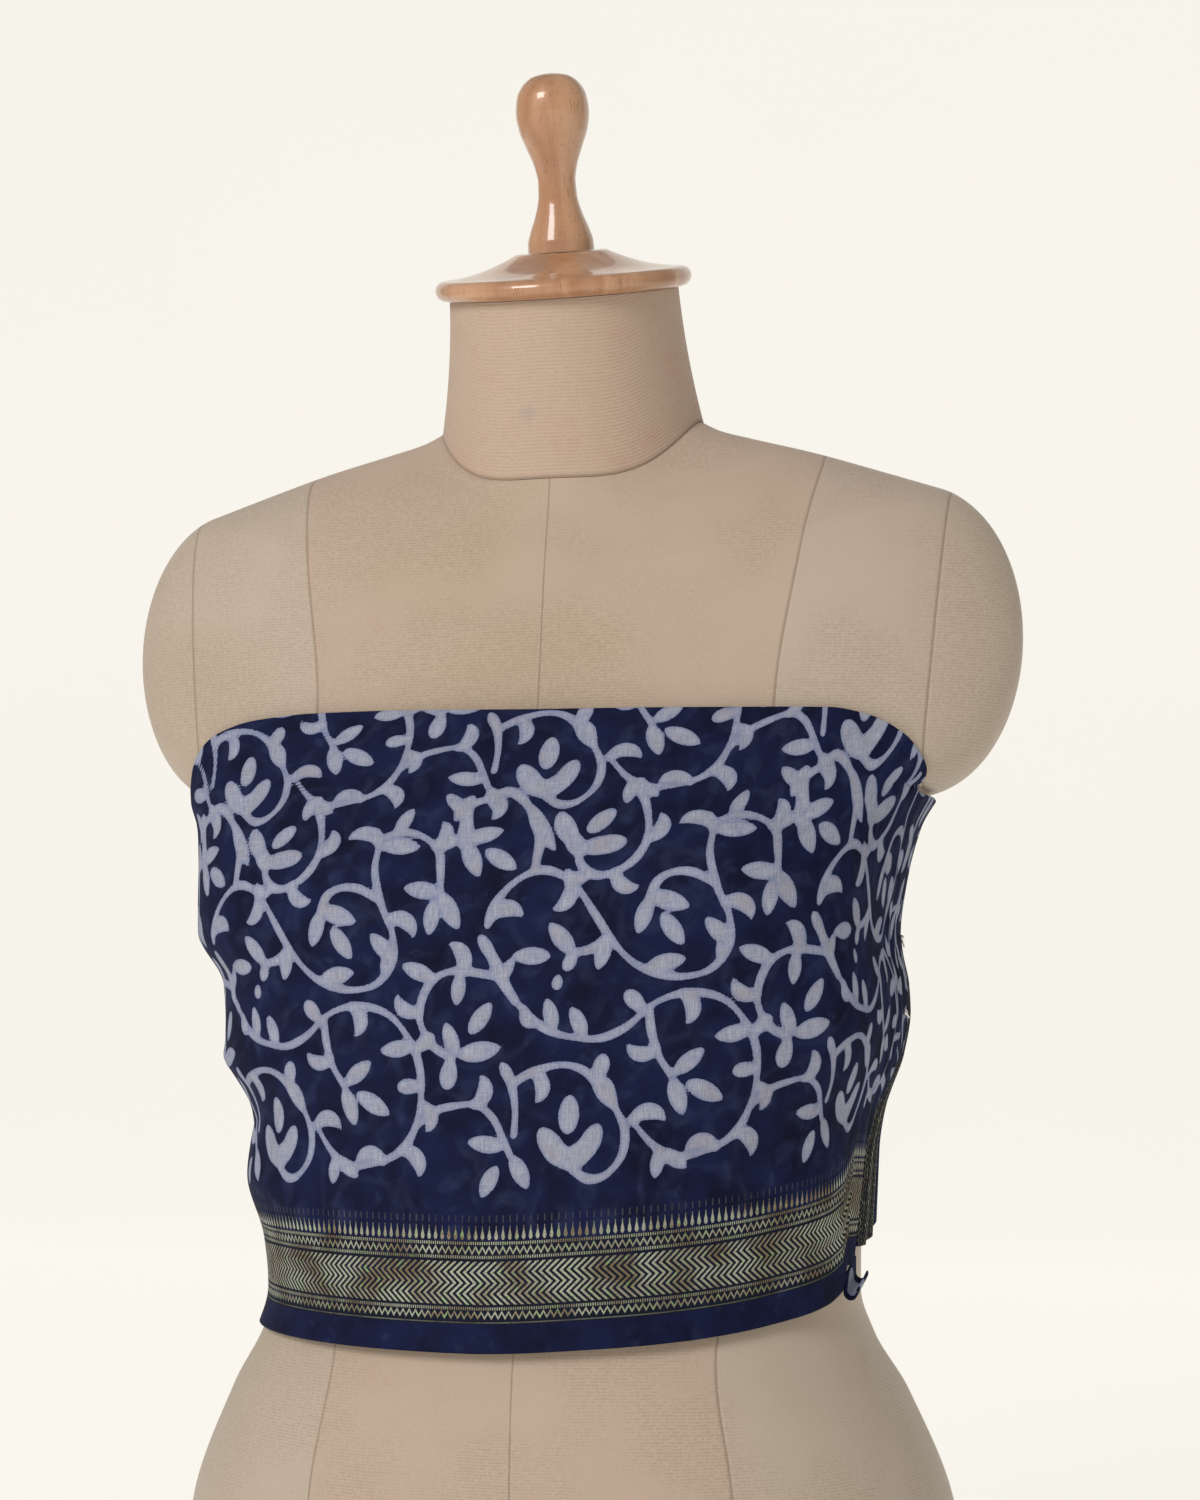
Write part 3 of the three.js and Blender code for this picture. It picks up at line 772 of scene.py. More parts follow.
@dataclass(frozen=True)
class Stem:
    """A stem through a few places, in millimetres."""

    places: tuple[tuple[float, float], ...]
    wide: float = 1.52

    def path(self) -> Array:
        """Points along the stem with their half widths: a Catmull-Rom curve, which at share f between places
        b and c, with a before and d after them, is b + f (c - a) / 2 + f^2 (a - 5 b / 2 + 2 c - d / 2)
        + f^3 (3 (b - c) + d - a) / 2. The width swells and thins a little along it, as a cosine."""
        p = np.array(self.places, dtype=float)
        p = np.concatenate([[2 * p[0] - p[1]], p, [2 * p[-1] - p[-2]]])
        t = np.linspace(0, len(self.places) - 1, STEM_STEPS * (len(self.places) - 1) + 1)
        i = np.minimum(t.astype(int), len(self.places) - 2)
        f = (t - i)[:, None]
        a, b, c, d = p[i], p[i + 1], p[i + 2], p[i + 3]
        at = (b + f * (c - a) / 2 + f ** 2 * (a - 2.5 * b + 2 * c - 0.5 * d)
              + f ** 3 * (3 * (b - c) + d - a) / 2)
        width = self.wide * (0.88 + 0.16 * np.cos(2.3 * t + self.wide * 7))
        return np.concatenate([at, width[:, None]], axis=1)


def hook(x: float, y: float, heading: float, side: int, size: float = 1.0) -> Mark:
    """A fat hook that curls to its left (1) or right (-1)."""
    return Mark(x, y, heading, 15.0 * size, 128 * side, 3.0 * size, Taper.HOOK)


def leaf(x: float, y: float, heading: float, length: float = 14.5, bend: float = 0.0) -> Mark:
    """A pointed leaf."""
    return Mark(x, y, heading, length, bend, 0.19 * length + 0.35, Taper.LEAF)


def knob(x: float, y: float, heading: float, length: float = 12.0, bend: float = 0.0) -> Mark:
    """A mark that swells to a round end."""
    return Mark(x, y, heading, length, bend, 0.16 * length + 1.35, Taper.KNOB)


@dataclass(frozen=True)
class VinePrint:
    """The block's repeat: scrolling vines with hooks, sprigs and tulips, each row set a little to the left of
    the row below. Places are millimetres from the foot of the print. Distances are worked out cell by cell,
    from the samples up to a margin past the cell, and none is held to be more than far."""

    repeat: tuple[float, float] = (138.0, 155.0)
    slip: float = -14.0
    foot: float = 76.0
    rows: int = 2
    melt: float = 0.45
    swell: float = 0.45
    cell: float = 23.0
    margin: float = 8.0
    far: float = 12.0
    stems: tuple[Stem, ...] = (
        Stem(((2, 64), (12, 54), (23, 49.5), (35, 48), (46, 52), (58, 61), (71, 64), (84, 61), (93, 52),
              (98, 41), (99, 28), (96, 14), (90, 5), (80, 0), (67, -2), (57, 3), (47, 15))),
        Stem(((55, 59), (56, 49), (59, 39), (64, 31))),
        Stem(((97, 15), (104, 21), (113, 23.5), (122, 24), (129, 19), (134, 9), (136.5, 3)), 1.3),
        Stem(((-11, 96), (-8, 105), (-1, 113), (8, 117.5), (16, 116.5), (25, 110), (33, 98), (40, 87),
              (48, 78), (58, 72.5), (69, 70.5), (80, 73), (87, 82), (87, 93), (82, 105), (78.5, 119),
              (79, 131), (77, 138))),
        Stem(((81, 107), (72, 112), (64, 112.5), (58, 109.5), (55, 103))),
        Stem(((79, 134), (89, 137), (98, 134.5), (105, 128), (106.5, 119), (107, 109))),
        Stem(((38, 88), (32, 84), (24, 83))),
        Stem(((-24, 149), (-16, 152), (-7, 156), (0, 151), (5, 143), (9, 133), (8, 119)), 1.9),
        Stem(((-23, 148), (-22.5, 140), (-22, 131)), 3.0),
        Stem(((1, 65), (-4, 73), (-8, 82), (-13, 91)), 2.2),
        Stem(((-5, 75), (-16, 77.5), (-26, 78), (-34, 74), (-38.5, 66), (-39, 57), (-34, 48), (-26, 43)),
             1.5),
        Stem(((-4, 39), (-1, 32), (0.5, 22), (0, 11)), 1.5),
        Stem(((-1, 32), (8, 36.5), (19, 38.5), (28, 36), (35, 29), (41, 20), (45, 10), (43.5, 0), (37, -7),
              (30, -8), (24, -4))),
        Stem(((47, 153), (51, 145), (53, 134), (52, 125), (47, 118), (39, 114), (32, 114), (26.5, 119),
              (25, 126))),
    )
    marks: tuple[Mark, ...] = (
        leaf(17, 53, 105, 13), leaf(29, 49, 108, 13.5, 12), knob(53, 58, 132, 10), hook(5, 62, -120, 1, 0.7),
        hook(68, 64, -20, -1, 1.05), leaf(96, 48, 196, 15, -14), knob(99, 31, 172, 9.5, 20),
        hook(82, 0, 120, 1, 1.05), hook(90, 5, 8, -1, 1.1), hook(99, 24, -18, -1, 0.95), knob(97, 46, 40, 9),
        leaf(59, 2, -100, 12), leaf(60, 1, -38, 12.5), hook(48, 14, 58, -1, 1.1), knob(40, 24, 118, 8),
        hook(58, 43, -128, -1, 1.0), leaf(65, 32, 38, 15), leaf(70, 28, -30, 17), leaf(64, 30, -74, 16),
        hook(121, 24, 14, 1, 1.05), leaf(134, 7, 172, 15.5), leaf(131, -1, -122, 14, 8),
        leaf(137, 3, -60, 15, -8),
        hook(-10, 99, 62, -1, 1.15), hook(22, 112, -58, -1, 1.05), leaf(38, 89, -100, 14, -10),
        leaf(24.5, 83, 128, 16), leaf(15, 82.5, 176, 15.5), knob(25, 83, -118, 7), knob(18.5, 74, -100, 4.5),
        leaf(54, 75, 12, 16, -4), hook(85, 99, 28, -1, 1.1), leaf(88, 83, 142, 15, -14), leaf(84, 76, 96, 8),
        leaf(55, 104, -20, 17), leaf(55, 103, -108, 15), leaf(60, 96, -56, 15.5),
        hook(79, 132, 108, 1, 1.15), leaf(80, 131, -4, 17), leaf(86, 137, 62, 13), hook(103, 130, 18, 1, 1.0),
        leaf(107, 110, 172, 16), leaf(104.5, 107, -98, 14.5), leaf(107, 110, -62, 17),
        hook(-13, 154, -24, -1, 1.0), Mark(4, 148, -70, 26.0, 16, 3.2, Taper.LEAF),
        leaf(-22, 133, 14, 16), leaf(-22, 132, -66, 17),
        leaf(-13, 128, -34, 16), leaf(-24, 134, 205, 12), leaf(-24, 146, 132, 13),
        hook(-22, 77, 50, 1, 1.1), leaf(-22, 77, -98, 13), leaf(-33, 75, 158, 15),
        hook(-39, 62, 208, -1, 1.0),
        leaf(-24, 44, 108, 14), leaf(-23, 44, 10, 18), knob(-26, 43, -100, 12), leaf(-18, 53, 54, 15),
        leaf(-9, 84, 122, 10), leaf(-5, 74, 60, 10),
        leaf(-1, 33, 118, 9), hook(8, 36, -24, -1, 1.0), leaf(33, 33, -58, 16), knob(34, 31, 74, 10),
        Mark(25, -4, 140, 22.0, -22, 4.0, Taper.KNOB), Mark(24, -4, 52, 20.0, 14, 3.7, Taper.KNOB),
        Mark(14, 5, -34, 12.0, 16, 4.0, Taper.BUD), Mark(20, -1, 22, 14.0, 24, 4.0, Taper.BUD),
        Mark(22, 11.5, 86, 14.0, 0, 3.9, Taper.BUD),
        Mark(26, 125, 128, 20.0, -18, 3.7, Taper.KNOB), Mark(26, 126, 2, 18.0, 6, 3.6, Taper.KNOB),
        Mark(22, 131, -62, 9.0, 16, 3.6, Taper.BUD), Mark(27, 126, 0, 13.0, 10, 3.6, Taper.BUD),
        Mark(29, 133.5, 42, 13.0, 0, 3.5, Taper.BUD), hook(53, 128, 8, 1, 1.05), hook(41, 115, -98, 1, 1.0),
        knob(45, 151, 60, 7), hook(30, 114, -140, -1, 0.8),
    )

    def samples(self) -> Array:
        """Points with half widths of every stroke, over enough blocks to cover one repeat of every row."""
        points = np.concatenate([stroke.path() for stroke in (*self.stems, *self.marks)])
        width, height = self.repeat
        rows = []
        for row in range(self.rows):
            placed = points + (row * self.slip, row * height, 0.0)
            placed[:, 0] = np.mod(placed[:, 0], width)
            rows += [placed + (shift * width, 0.0, 0.0) for shift in (-1, 0, 1)]
        around = np.concatenate(rows)
        return around[(around[:, 0] > -self.far) & (around[:, 0] < width + self.far)]

    def distance(self, u: Array, v: Array) -> Array:
        """Distance to the print's edge: a soft least of each sample's distance less its half width, so that
        strokes melt together where they meet.

        Args:
            u: Millimetres along the cloth.
            v: Millimetres up from the hem.

        Returns:
            Millimetres, negative inside the print.
        """
        samples = self.samples()
        x, y = np.mod(u, self.repeat[0]).ravel(), (v - self.foot).ravel()
        found = np.full(x.shape, self.far)
        step, reach = self.cell, self.cell / 2 + self.margin
        for left in np.arange(0.0, self.repeat[0], step):
            for low in np.arange(math.floor(y.min() / step) * step, y.max() + step, step):
                here = np.flatnonzero((x >= left) & (x < left + step) & (y >= low) & (y < low + step))
                near = samples[(np.abs(samples[:, 0] - left - step / 2) < reach)
                               & (np.abs(samples[:, 1] - low - step / 2) < reach)]
                if len(here) and len(near):
                    apart = np.hypot(x[here, None] - near[:, 0], y[here, None] - near[:, 1]) - near[:, 2]
                    least = apart.min(axis=1)
                    soft = np.exp(-(apart - least[:, None]) / self.melt).sum(axis=1)
                    found[here] = least - self.melt * np.log(soft) + self.swell
        return np.minimum(found, self.far).reshape(np.shape(u))


@dataclass(frozen=True)
class Calico:
    """Fine beige cover cloth of the form: matt panels in front and behind, smoother ones at the sides."""

    panel: tuple[float, float, float] = linear(198, 179, 160)
    side: tuple[float, float, float] = linear(197, 183, 166)
    seam: tuple[float, float, float] = linear(128, 103, 82)
    stain: tuple[float, float, float] = linear(184, 152, 134)
    olive: tuple[float, float, float] = linear(176, 162, 132)
    # Painted shade in the weave, laid on by the threads' noise.
    thread: tuple[float, float, float] = linear(150, 128, 106)
    # Painted shade for the furrows between the ribs.
    rib_shade: tuple[float, float, float] = linear(140, 116, 92)
    rib: float = 1.3

    def material(self) -> bpy.types.Material:
        """Threads as fine noise stretched each way that darkens the colour as painted shade in the weave,
        level ribs that come and go with painted shade in their furrows, cloudy tone, and thin dark seams with
        a groove."""
        paint = Paint("calico")
        place = paint.place()
        side = paint.mark("princess").rise(-0.4, 0.4)
        princess, armhole = abs(paint.mark("princess")), abs(paint.mark("armhole"))
        middle = abs(paint.mark("middle_seam"))
        wander = (paint.noise(place, 60, 2) - 0.5) * 0.5
        near = (princess + wander).at_most(armhole).at_most(middle * 1.8 + wander + 0.1)
        line = near.rise(0.7, 0.1)
        weft = paint.noise(paint.scaled(place, (500, 500, 3800)), 1, 2, 0.6)
        warp = paint.noise(paint.scaled(place, (3200, 3200, 260)), 1, 2, 0.6)
        cloud = paint.noise(place, 9, 4, 0.55)
        spot = paint.noise(place, 38, 3, 0.6).rise(0.64, 0.8)
        base = paint.mix(side, self.panel, self.side)
        base = paint.mix((cloud - 0.5) * 0.5 + 0.12, base, self.stain)
        base = paint.mix(spot * 0.3, base, self.stain)
        base = paint.mix(paint.noise(place, 7, 3, 0.55, 0.3).rise(0.48, 0.7) * 0.35, base, self.olive)
        ribs = (paint.height() + (paint.noise(place, 18, 2) - 0.5) * 2.4).tooth(self.rib)
        broken = paint.noise(paint.scaled(place, (700, 700, 700)), 1, 2, 0.6).rise(0.35, 0.6)
        ribs = ribs * broken * paint.noise(place, 14, 2).rise(0.34, 0.54)
        # Painted shade in the rib furrows: the ribs darken the colour.
        base = paint.mix(ribs * 0.36, base, self.rib_shade)
        # Painted shade in the weave: the weft and warp noise darkens the colour towards thread.
        base = paint.mix(0.16 * weft + 0.12 * warp, base, self.thread, "MULTIPLY")
        base = paint.mix(line * 0.55, base, self.seam)
        groove = paint.bump(near.rise(0.0, 1.2), 0.0004, 0.8)
        normal = paint.bump(weft * 0.5 + warp * 0.5, 0.0002, 0.5, groove)
        return paint.finish(Base_Color=base, Roughness=0.82 - 0.12 * side, Normal=normal, Sheen_Weight=0.18,
                            Sheen_Roughness=0.5)


@dataclass(frozen=True)
class NeckCover:
    """Ribbed cover cloth of the neck, a little stained."""

    cloth: tuple[float, float, float] = linear(194, 170, 150)
    pink: tuple[float, float, float] = linear(196, 140, 124)
    blue: tuple[float, float, float] = linear(150, 146, 152)
    # Painted shade for the furrows between the ribs.
    rib_shade: tuple[float, float, float] = linear(140, 116, 96)
    rim: tuple[float, float, float] = linear(120, 97, 78)
    rib: float = 1.5

    def material(self) -> bpy.types.Material:
        """Fine level ribs from the height up the neck, with painted shade in their furrows, and pinkish and
        bluish clouds.
        """
        paint = Paint("neck_calico")
        place = paint.place()
        _, up = paint.cloth_place()
        ribs = (up + (paint.noise(place, 25, 2) - 0.5) * 1.2).tooth(self.rib)
        broken = paint.noise(paint.scaled(place, (1100, 1100, 1100)), 1, 2, 0.6).rise(0.3, 0.62)
        pink = paint.noise(place, 26, 4, 0.6).rise(0.56, 0.74)
        blue = paint.noise(paint.scaled(place, (1, 1, 1), (0.4, 0.2, 0.9)), 41, 3, 0.6).rise(0.64, 0.78)
        base = paint.mix(pink * 0.36, self.cloth, self.pink)
        base = paint.mix(blue * 0.32, base, self.blue)
        # Painted shade in the rib furrows: the ribs darken the colour.
        base = paint.mix(ribs * broken * 0.3, base, self.rib_shade)
        base = paint.mix(up.rise(2.2, 0.2) * 0.55, base, self.rim)
        weave = paint.noise(paint.scaled(place, (2400, 2400, 700)), 1, 2, 0.6)
        normal = paint.bump(ribs * 0.6 + weave * 0.4, 0.0003, 0.7)
        return paint.finish(Base_Color=base, Roughness=0.82, Normal=normal, Sheen_Weight=0.15,
                            Sheen_Roughness=0.5)


@dataclass(frozen=True)
class Beech:
    """Clear-lacquered beech, its grain along the given tilt."""

    pale: tuple[float, float, float] = linear(206, 160, 124)
    dark: tuple[float, float, float] = linear(170, 120, 84)
    fleck: tuple[float, float, float] = linear(120, 76, 50)
    tilt: float = 18.5

    def material(self) -> bpy.types.Material:
        """Soft bands of growth, long fine fibres and short dark flecks under a glossy coat."""
        paint = Paint("beech")
        place = paint.scaled(paint.place(), (1, 1, 1), (math.radians(-self.tilt), 0.0, 0.3))
        band = paint.noise(paint.scaled(place, (60, 60, 9)), 1, 3, 0.5, 0.6)
        fibre = paint.noise(paint.scaled(place, (900, 900, 40)), 1, 3, 0.6)
        fleck = paint.noise(paint.scaled(place, (1500, 1500, 190)), 1, 1, 0.4).rise(0.66, 0.74)
        base = paint.mix(band.rise(0.35, 0.68), self.pale, self.dark)
        base = paint.mix(fibre * 0.4, base, self.dark)
        base = paint.mix(fleck * 0.6, base, self.fleck)
        normal = paint.bump(fibre, 0.0001, 0.25)
        return paint.finish(Base_Color=base, Roughness=0.32 + 0.12 * fibre, Normal=normal, Coat_Weight=0.8,
                            Coat_Roughness=0.06, Specular_IOR_Level=0.5)


@dataclass(frozen=True)
class PinSteel:
    """Bright drawn steel."""

    steel: tuple[float, float, float] = linear(214, 214, 212)

    def material(self) -> bpy.types.Material:
        """Light metal with fine drawn lines."""
        paint = Paint("pin_steel")
        lines = paint.noise(paint.place(), 2500, 2)
        return paint.finish(Base_Color=self.steel, Metallic=1.0, Roughness=0.2 + 0.12 * lines)


@dataclass(frozen=True)
class PrintedCloth:
    """Indigo cloth with a washed white vine print and a woven metallic border."""

    indigo: tuple[float, float, float] = linear(17, 27, 67)
    deep: tuple[float, float, float] = linear(7, 12, 40)
    haze: tuple[float, float, float] = linear(58, 68, 106)
    white: tuple[float, float, float] = linear(174, 178, 194)
    thin: tuple[float, float, float] = linear(130, 135, 158)
    warm: tuple[float, float, float] = linear(158, 150, 154)
    cool: tuple[float, float, float] = linear(140, 146, 178)
    vein: tuple[float, float, float] = linear(96, 112, 160)
    weave: tuple[float, float, float] = linear(120, 120, 132)
    ground: tuple[float, float, float] = linear(17, 22, 28)
    gold: tuple[float, float, float] = linear(176, 178, 162)
    amber: tuple[float, float, float] = linear(124, 108, 84)
    green: tuple[float, float, float] = linear(150, 186, 128)
    pitch: float = 2.85
    bars: tuple[float, float, float, float] = (19.6, 36.8, 8.6, 4.6)
    drops: tuple[float, float] = (45.6, 51.2)
    ticks: tuple[float, float] = (52.6, 55.4)
    dark: tuple[float, float] = (11.6, 45.0)
    name: str = "printed_cloth"

    def border(self, paint: Paint, u: Number, v: Number) -> Number:
        """Where the metallic thread shows: rows of ticks, drops, dots, zigzags and slanted bars.

        Args:
            paint: The material.
            u: Millimetres along the cloth.
            v: Millimetres up from the hem.

        Returns:
            1 on the thread and 0 beside it.
        """
        tooth = u.tooth(self.pitch)
        beads = u.tooth(self.pitch / 3)

        def zigzag(height: float, reach: float, thick: float) -> Number:
            """A line that climbs and falls once in each pitch."""
            return abs(v - (height - reach) - tooth * (2 * reach)).rise(thick + 0.12, thick - 0.12)

        def dots(height: float, tall: float) -> Number:
            """A row of short upright stitches, a third of the pitch apart."""
            return beads.rise(0.35, 0.6) * v.band(height - tall / 2, height + tall / 2)

        def line(height: float, thick: float) -> Number:
            """A plain line along the cloth."""
            return v.band(height - thick / 2, height + thick / 2, 0.1) * 0.35

        low, high = self.drops
        taper = ((v - low) / (high - low)).math("MULTIPLY", 1.0, clamp=True)
        width = 0.95 * (1.0 - taper) * (0.3 + 0.7 * taper.rise(0.0, 0.2)) * taper.rise(1.0, 0.35) + 0.12
        drops = ((1.0 - tooth) - width * 0.62).rise(0.1, -0.1) * v.band(low, high)
        ticks = tooth.rise(0.7, 0.95) * v.band(*self.ticks) * 0.14
        low, high, leg, slant = self.bars
        bars = (u + (v - low).tooth(leg) * slant).tooth(self.pitch).rise(0.42, 0.64) * v.band(low, high)
        rows = (line(12.4, 0.45), zigzag(15.4, 1.2, 0.62), dots(18.0, 1.2), bars, dots(38.6, 1.2),
                zigzag(41.4, 1.3, 0.66), dots(44.2, 1.2), drops, ticks)
        found = rows[0]
        for row in rows[1:]:
            found = found.at_least(row)
        return found

    def material(self) -> bpy.types.Material:
        """Mottled dye, the print's crisp edges from the stored distance, a faint second layer, the border."""
        paint = Paint(self.name)
        place = paint.place()
        u, v = paint.cloth_place()
        flat = paint.vector(u, v)
        shade = paint.noise(flat, 0.045, 4, 0.6)
        patch = paint.noise(flat, 0.11, 3, 0.55, 0.4)
        slub_up = paint.noise(paint.scaled(flat, (2.2, 0.16, 1)), 1, 2, 0.6)
        slub_across = paint.noise(paint.scaled(flat, (0.12, 2.6, 1)), 1, 2, 0.6)
        thread = slub_up * 0.6 + slub_across * 0.4
        ragged = (paint.noise(flat, 1.1, 2) - 0.5) * 0.55
        print_edge = paint.mark("print_distance") + ragged
        inked = print_edge.rise(0.14, -0.14)
        bleed = print_edge.rise(-1.5, 0.1)
        vein = abs(paint.noise(flat, 0.42, 3, 0.6) - 0.5).rise(0.035, 0.0)
        vein = vein * paint.noise(flat, 0.12, 2).rise(0.42, 0.66)
        base = paint.mix(shade.rise(0.3, 0.7), self.deep, self.indigo)
        base = paint.mix(patch.rise(0.55, 0.78) * 0.3, base, self.haze)
        ghost = paint.mark("under_distance") + (patch - 0.5) * 2.0
        base = paint.mix(ghost.rise(1.0, -1.6) * patch.rise(0.3, 0.6) * 0.22, base, self.haze)
        white = paint.mix(thread.rise(0.36, 0.64) * 0.72, self.white, self.thin)
        white = paint.mix(paint.noise(flat, 0.07, 3, 0.6).rise(0.46, 0.7) * 0.45, white, self.warm)
        white = paint.mix(bleed * 0.5 + vein * 0.5, white, self.vein)
        white = paint.mix(paint.noise(flat, 0.2, 3, 0.6).rise(0.45, 0.75) * 0.3, white, self.cool)
        base = paint.mix(inked, base, white)
        base = paint.mix(thread * 0.28, base, self.weave, "MULTIPLY")
        metal = self.border(paint, u, v) * paint.noise(flat, 1.6, 2).rise(0.22, 0.5)
        base = paint.mix(v.band(*self.dark, 0.3) * 0.7, base, self.ground)
        gold = paint.mix(paint.noise(flat, 0.05, 2).rise(0.35, 0.65), self.gold, self.amber)
        gold = paint.mix(paint.noise(flat, 0.3, 2).rise(0.5, 0.72) * 0.6, gold, self.green)
        base = paint.mix(metal, base, gold)
        height = thread * 0.25 + metal * 0.5
        fine = paint.noise(paint.scaled(place, (900, 900, 900)), 1, 2, 0.6)
        normal = paint.bump(height + fine * 0.1, 0.00035, 0.6)
        return paint.finish(Base_Color=base, Roughness=0.82 - 0.46 * metal, Metallic=metal * 0.5,
                            Normal=normal, Specular_IOR_Level=0.16)


@dataclass
class DressForm:
    """The limbless form: a covered body with shoulder caps, a neck, a turned disc and knob, and a board."""

    around: int = 320
    body_rings: tuple[int, int, int] = (165, 64, 30)
    neck_around: int = 180
    neck_rings: int = 60
    turned_around: int = 128
    seam_gap: float = 0.3
    end_rise: float = 6.0
    seam_far: float = 50.0
    princess: Curve = Curve((12, 150, 207, 300, 400, 470, 540, 580), (96, 88, 80, 84, 100, 99, 108, 115))
    armhole: tuple[float, float] = (163.5, 5.0)
    lean: float = 18.5
    top: tuple[float, float] = (-8.5, 661.5)
    neck_radius: float = 50.5
    waist: float = 1.2
    disc: tuple[float, float, float, float, float] = (56.5, 8.4, 9.0, 20.0, 0.2)
    knob: tuple[tuple[float, float], ...] = (
        (0, 14.6), (4, 14.4), (9, 12.9), (16, 10.2), (23, 8.5), (29, 8.2), (35, 9.2), (43, 12.1),
        (50.5, 14.9), (57.2, 15.9), (64, 15), (69, 12.2), (72.3, 7.6), (73.2, 3.6), (73.5, 0.6))

    def body(self) -> bpy.types.Object:
        """One smooth skin over the body and both caps, with the seams' distances stored on its points."""
        height = FORM.armpit[1]
        low, caps, ridge = self.body_rings
        stations = np.concatenate([
            np.linspace(FORM.foot, height, low), np.linspace(height, FORM.shoulder, caps)[1:],
            np.linspace(FORM.shoulder, FORM.neck_seam, ridge)[1:]])
        degrees = np.arange(self.around) * 360.0 / self.around
        rings = FORM.point(degrees[None, :], stations[:, None])
        x, z = np.abs(rings[..., 0]), rings[..., 2]
        armhole = x - self.armhole[0] - np.tan(np.radians(self.armhole[1])) * (z - FORM.cap_centre[1])
        marks = {"princess": x - self.princess(z),
                 "armhole": np.where(z > height - 3, armhole, self.seam_far), "middle_seam": rings[..., 0]}
        bottom = np.array([0.0, 0.0, FORM.foot])
        top = np.array([0.0, rings[-1, :, 1].mean(), rings[-1, :, 2].mean() + self.end_rise])
        made = stack("form_cover", rings, bottom, top, marks=marks)
        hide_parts("form_torso", "form_cap_left", "form_cap_right")
        return dressed(made, Calico().material())

    def neck(self) -> bpy.types.Object:
        """Rings that pass from the neck seam to a round leaning top, a little waisted between."""
        degrees = np.arange(self.neck_around) * 360.0 / self.neck_around
        seam = FORM.point(degrees, np.full(self.neck_around, FORM.neck_seam)) + (0.0, 0.0, self.seam_gap)
        lean = math.radians(self.lean)
        cos, sin = np.cos(np.radians(degrees)), np.sin(np.radians(degrees))
        top = np.stack([self.neck_radius * cos, self.neck_radius * sin * math.cos(lean) + self.top[0],
                        self.neck_radius * sin * math.sin(lean) + self.top[1]], axis=-1)
        t = np.linspace(0, 1, self.neck_rings)[:, None, None]
        rings = seam * (1 - t) + top * t
        inward = rings[..., :2] / np.linalg.norm(rings[..., :2], axis=-1, keepdims=True)
        rings[..., :2] -= self.waist * 4 * t * (1 - t) * inward
        up = lengths(rings, 0)
        uv = np.stack([np.broadcast_to(np.radians(degrees) * self.neck_radius, up.shape), up], axis=-1) * MM
        middle = rings[0].mean(axis=0) + (0.0, 0.0, self.end_rise)
        points_uv = np.concatenate([uv.reshape(-1, 2), [[0, 0]], [[0, 0.09]]])
        made = stack("neck_cover", rings, middle, rings[-1].mean(axis=0), uv=points_uv)
        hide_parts("form_neck")
        return dressed(made, NeckCover().material())

    def turned(self, name: str, profile: Array, lift: float, node: str) -> bpy.types.Object:
        """A turned piece: its profile of radius and height goes round the neck's leaning axis.

        Args:
            name: The piece's name.
            profile: Rows of radius and height.
            lift: How far up the axis the profile starts.
            node: The node it stands for.

        Returns:
            The piece.
        """
        turns = np.radians(np.arange(self.turned_around) * 360.0 / self.turned_around)
        radius, height = profile[:, :1], profile[:, 1:] + lift
        flat = np.stack(np.broadcast_arrays(radius * np.cos(turns), radius * np.sin(turns), height), axis=-1)
        cos, sin = math.cos(math.radians(self.lean)), math.sin(math.radians(self.lean))
        turn = np.array([[1, 0, 0], [0, cos, -sin], [0, sin, cos]])
        place = np.array([0.0, self.top[0], self.top[1]])
        ends = np.array([[0, 0, height[0, 0]], [0, 0, height[-1, 0]]]) @ turn.T + place
        made = stack(name, flat @ turn.T + place, ends[0], ends[1])
        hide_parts(node)
        return made

    def disc_profile(self) -> Array:
        """A flat underside, a half-round rim and a hollow rise to the knob's foot."""
        radius, edge, rise, foot, straight = self.disc
        half = edge / 2
        turn = np.radians(np.linspace(-90, 90, 25))
        rim = np.stack([radius - half + half * np.cos(turn), half + half * np.sin(turn)], axis=-1)
        t = np.linspace(0, 1, 25)[1:]
        cove = np.stack([radius - half + (foot - radius + half) * t,
                         edge + rise * (straight * t + (1 - straight) * t * t)], axis=-1)
        return np.concatenate([rim, cove])

    def knob_profile(self) -> Array:
        """A smooth curve through the knob's rows, as cubic pieces on their running number."""
        rows = np.array(self.knob)
        number = tuple(range(len(rows)))
        place = np.linspace(0, len(rows) - 1, 120)
        radius, height = (Curve(number, tuple(rows[:, column]))(place) for column in (1, 0))
        return np.stack([radius, height], axis=-1)

    def build(self) -> list[bpy.types.Object]:
        """Build and dress every piece of the form."""
        wood = Beech().material()
        disc = dressed(self.turned("neck_disc", self.disc_profile(), self.seam_gap, "neck_cap"), wood)
        lift = 2 * self.seam_gap + self.disc[1] + self.disc[2]
        knob = dressed(self.turned("knob", self.knob_profile(), lift, "finial"), wood)
        board = bpy.data.objects["form_board"]
        repaint(board, wood)
        return [self.body(), self.neck(), disc, knob]


def repaint(thing: bpy.types.Object, material: bpy.types.Material) -> None:
    """Put one material in every slot of an object."""
    if not thing.material_slots:
        thing.data.materials.append(material)
    for slot in thing.material_slots:
        slot.material = material


def dressed(thing: bpy.types.Object, material: bpy.types.Material) -> bpy.types.Object:
    """Give a new piece its material in its slots, and let it ride on the body.

    Args:
        thing: The piece.
        material: Its material.

    Returns:
        The piece.
    """
    repaint(thing, material)
    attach(thing, "root")
    return thing


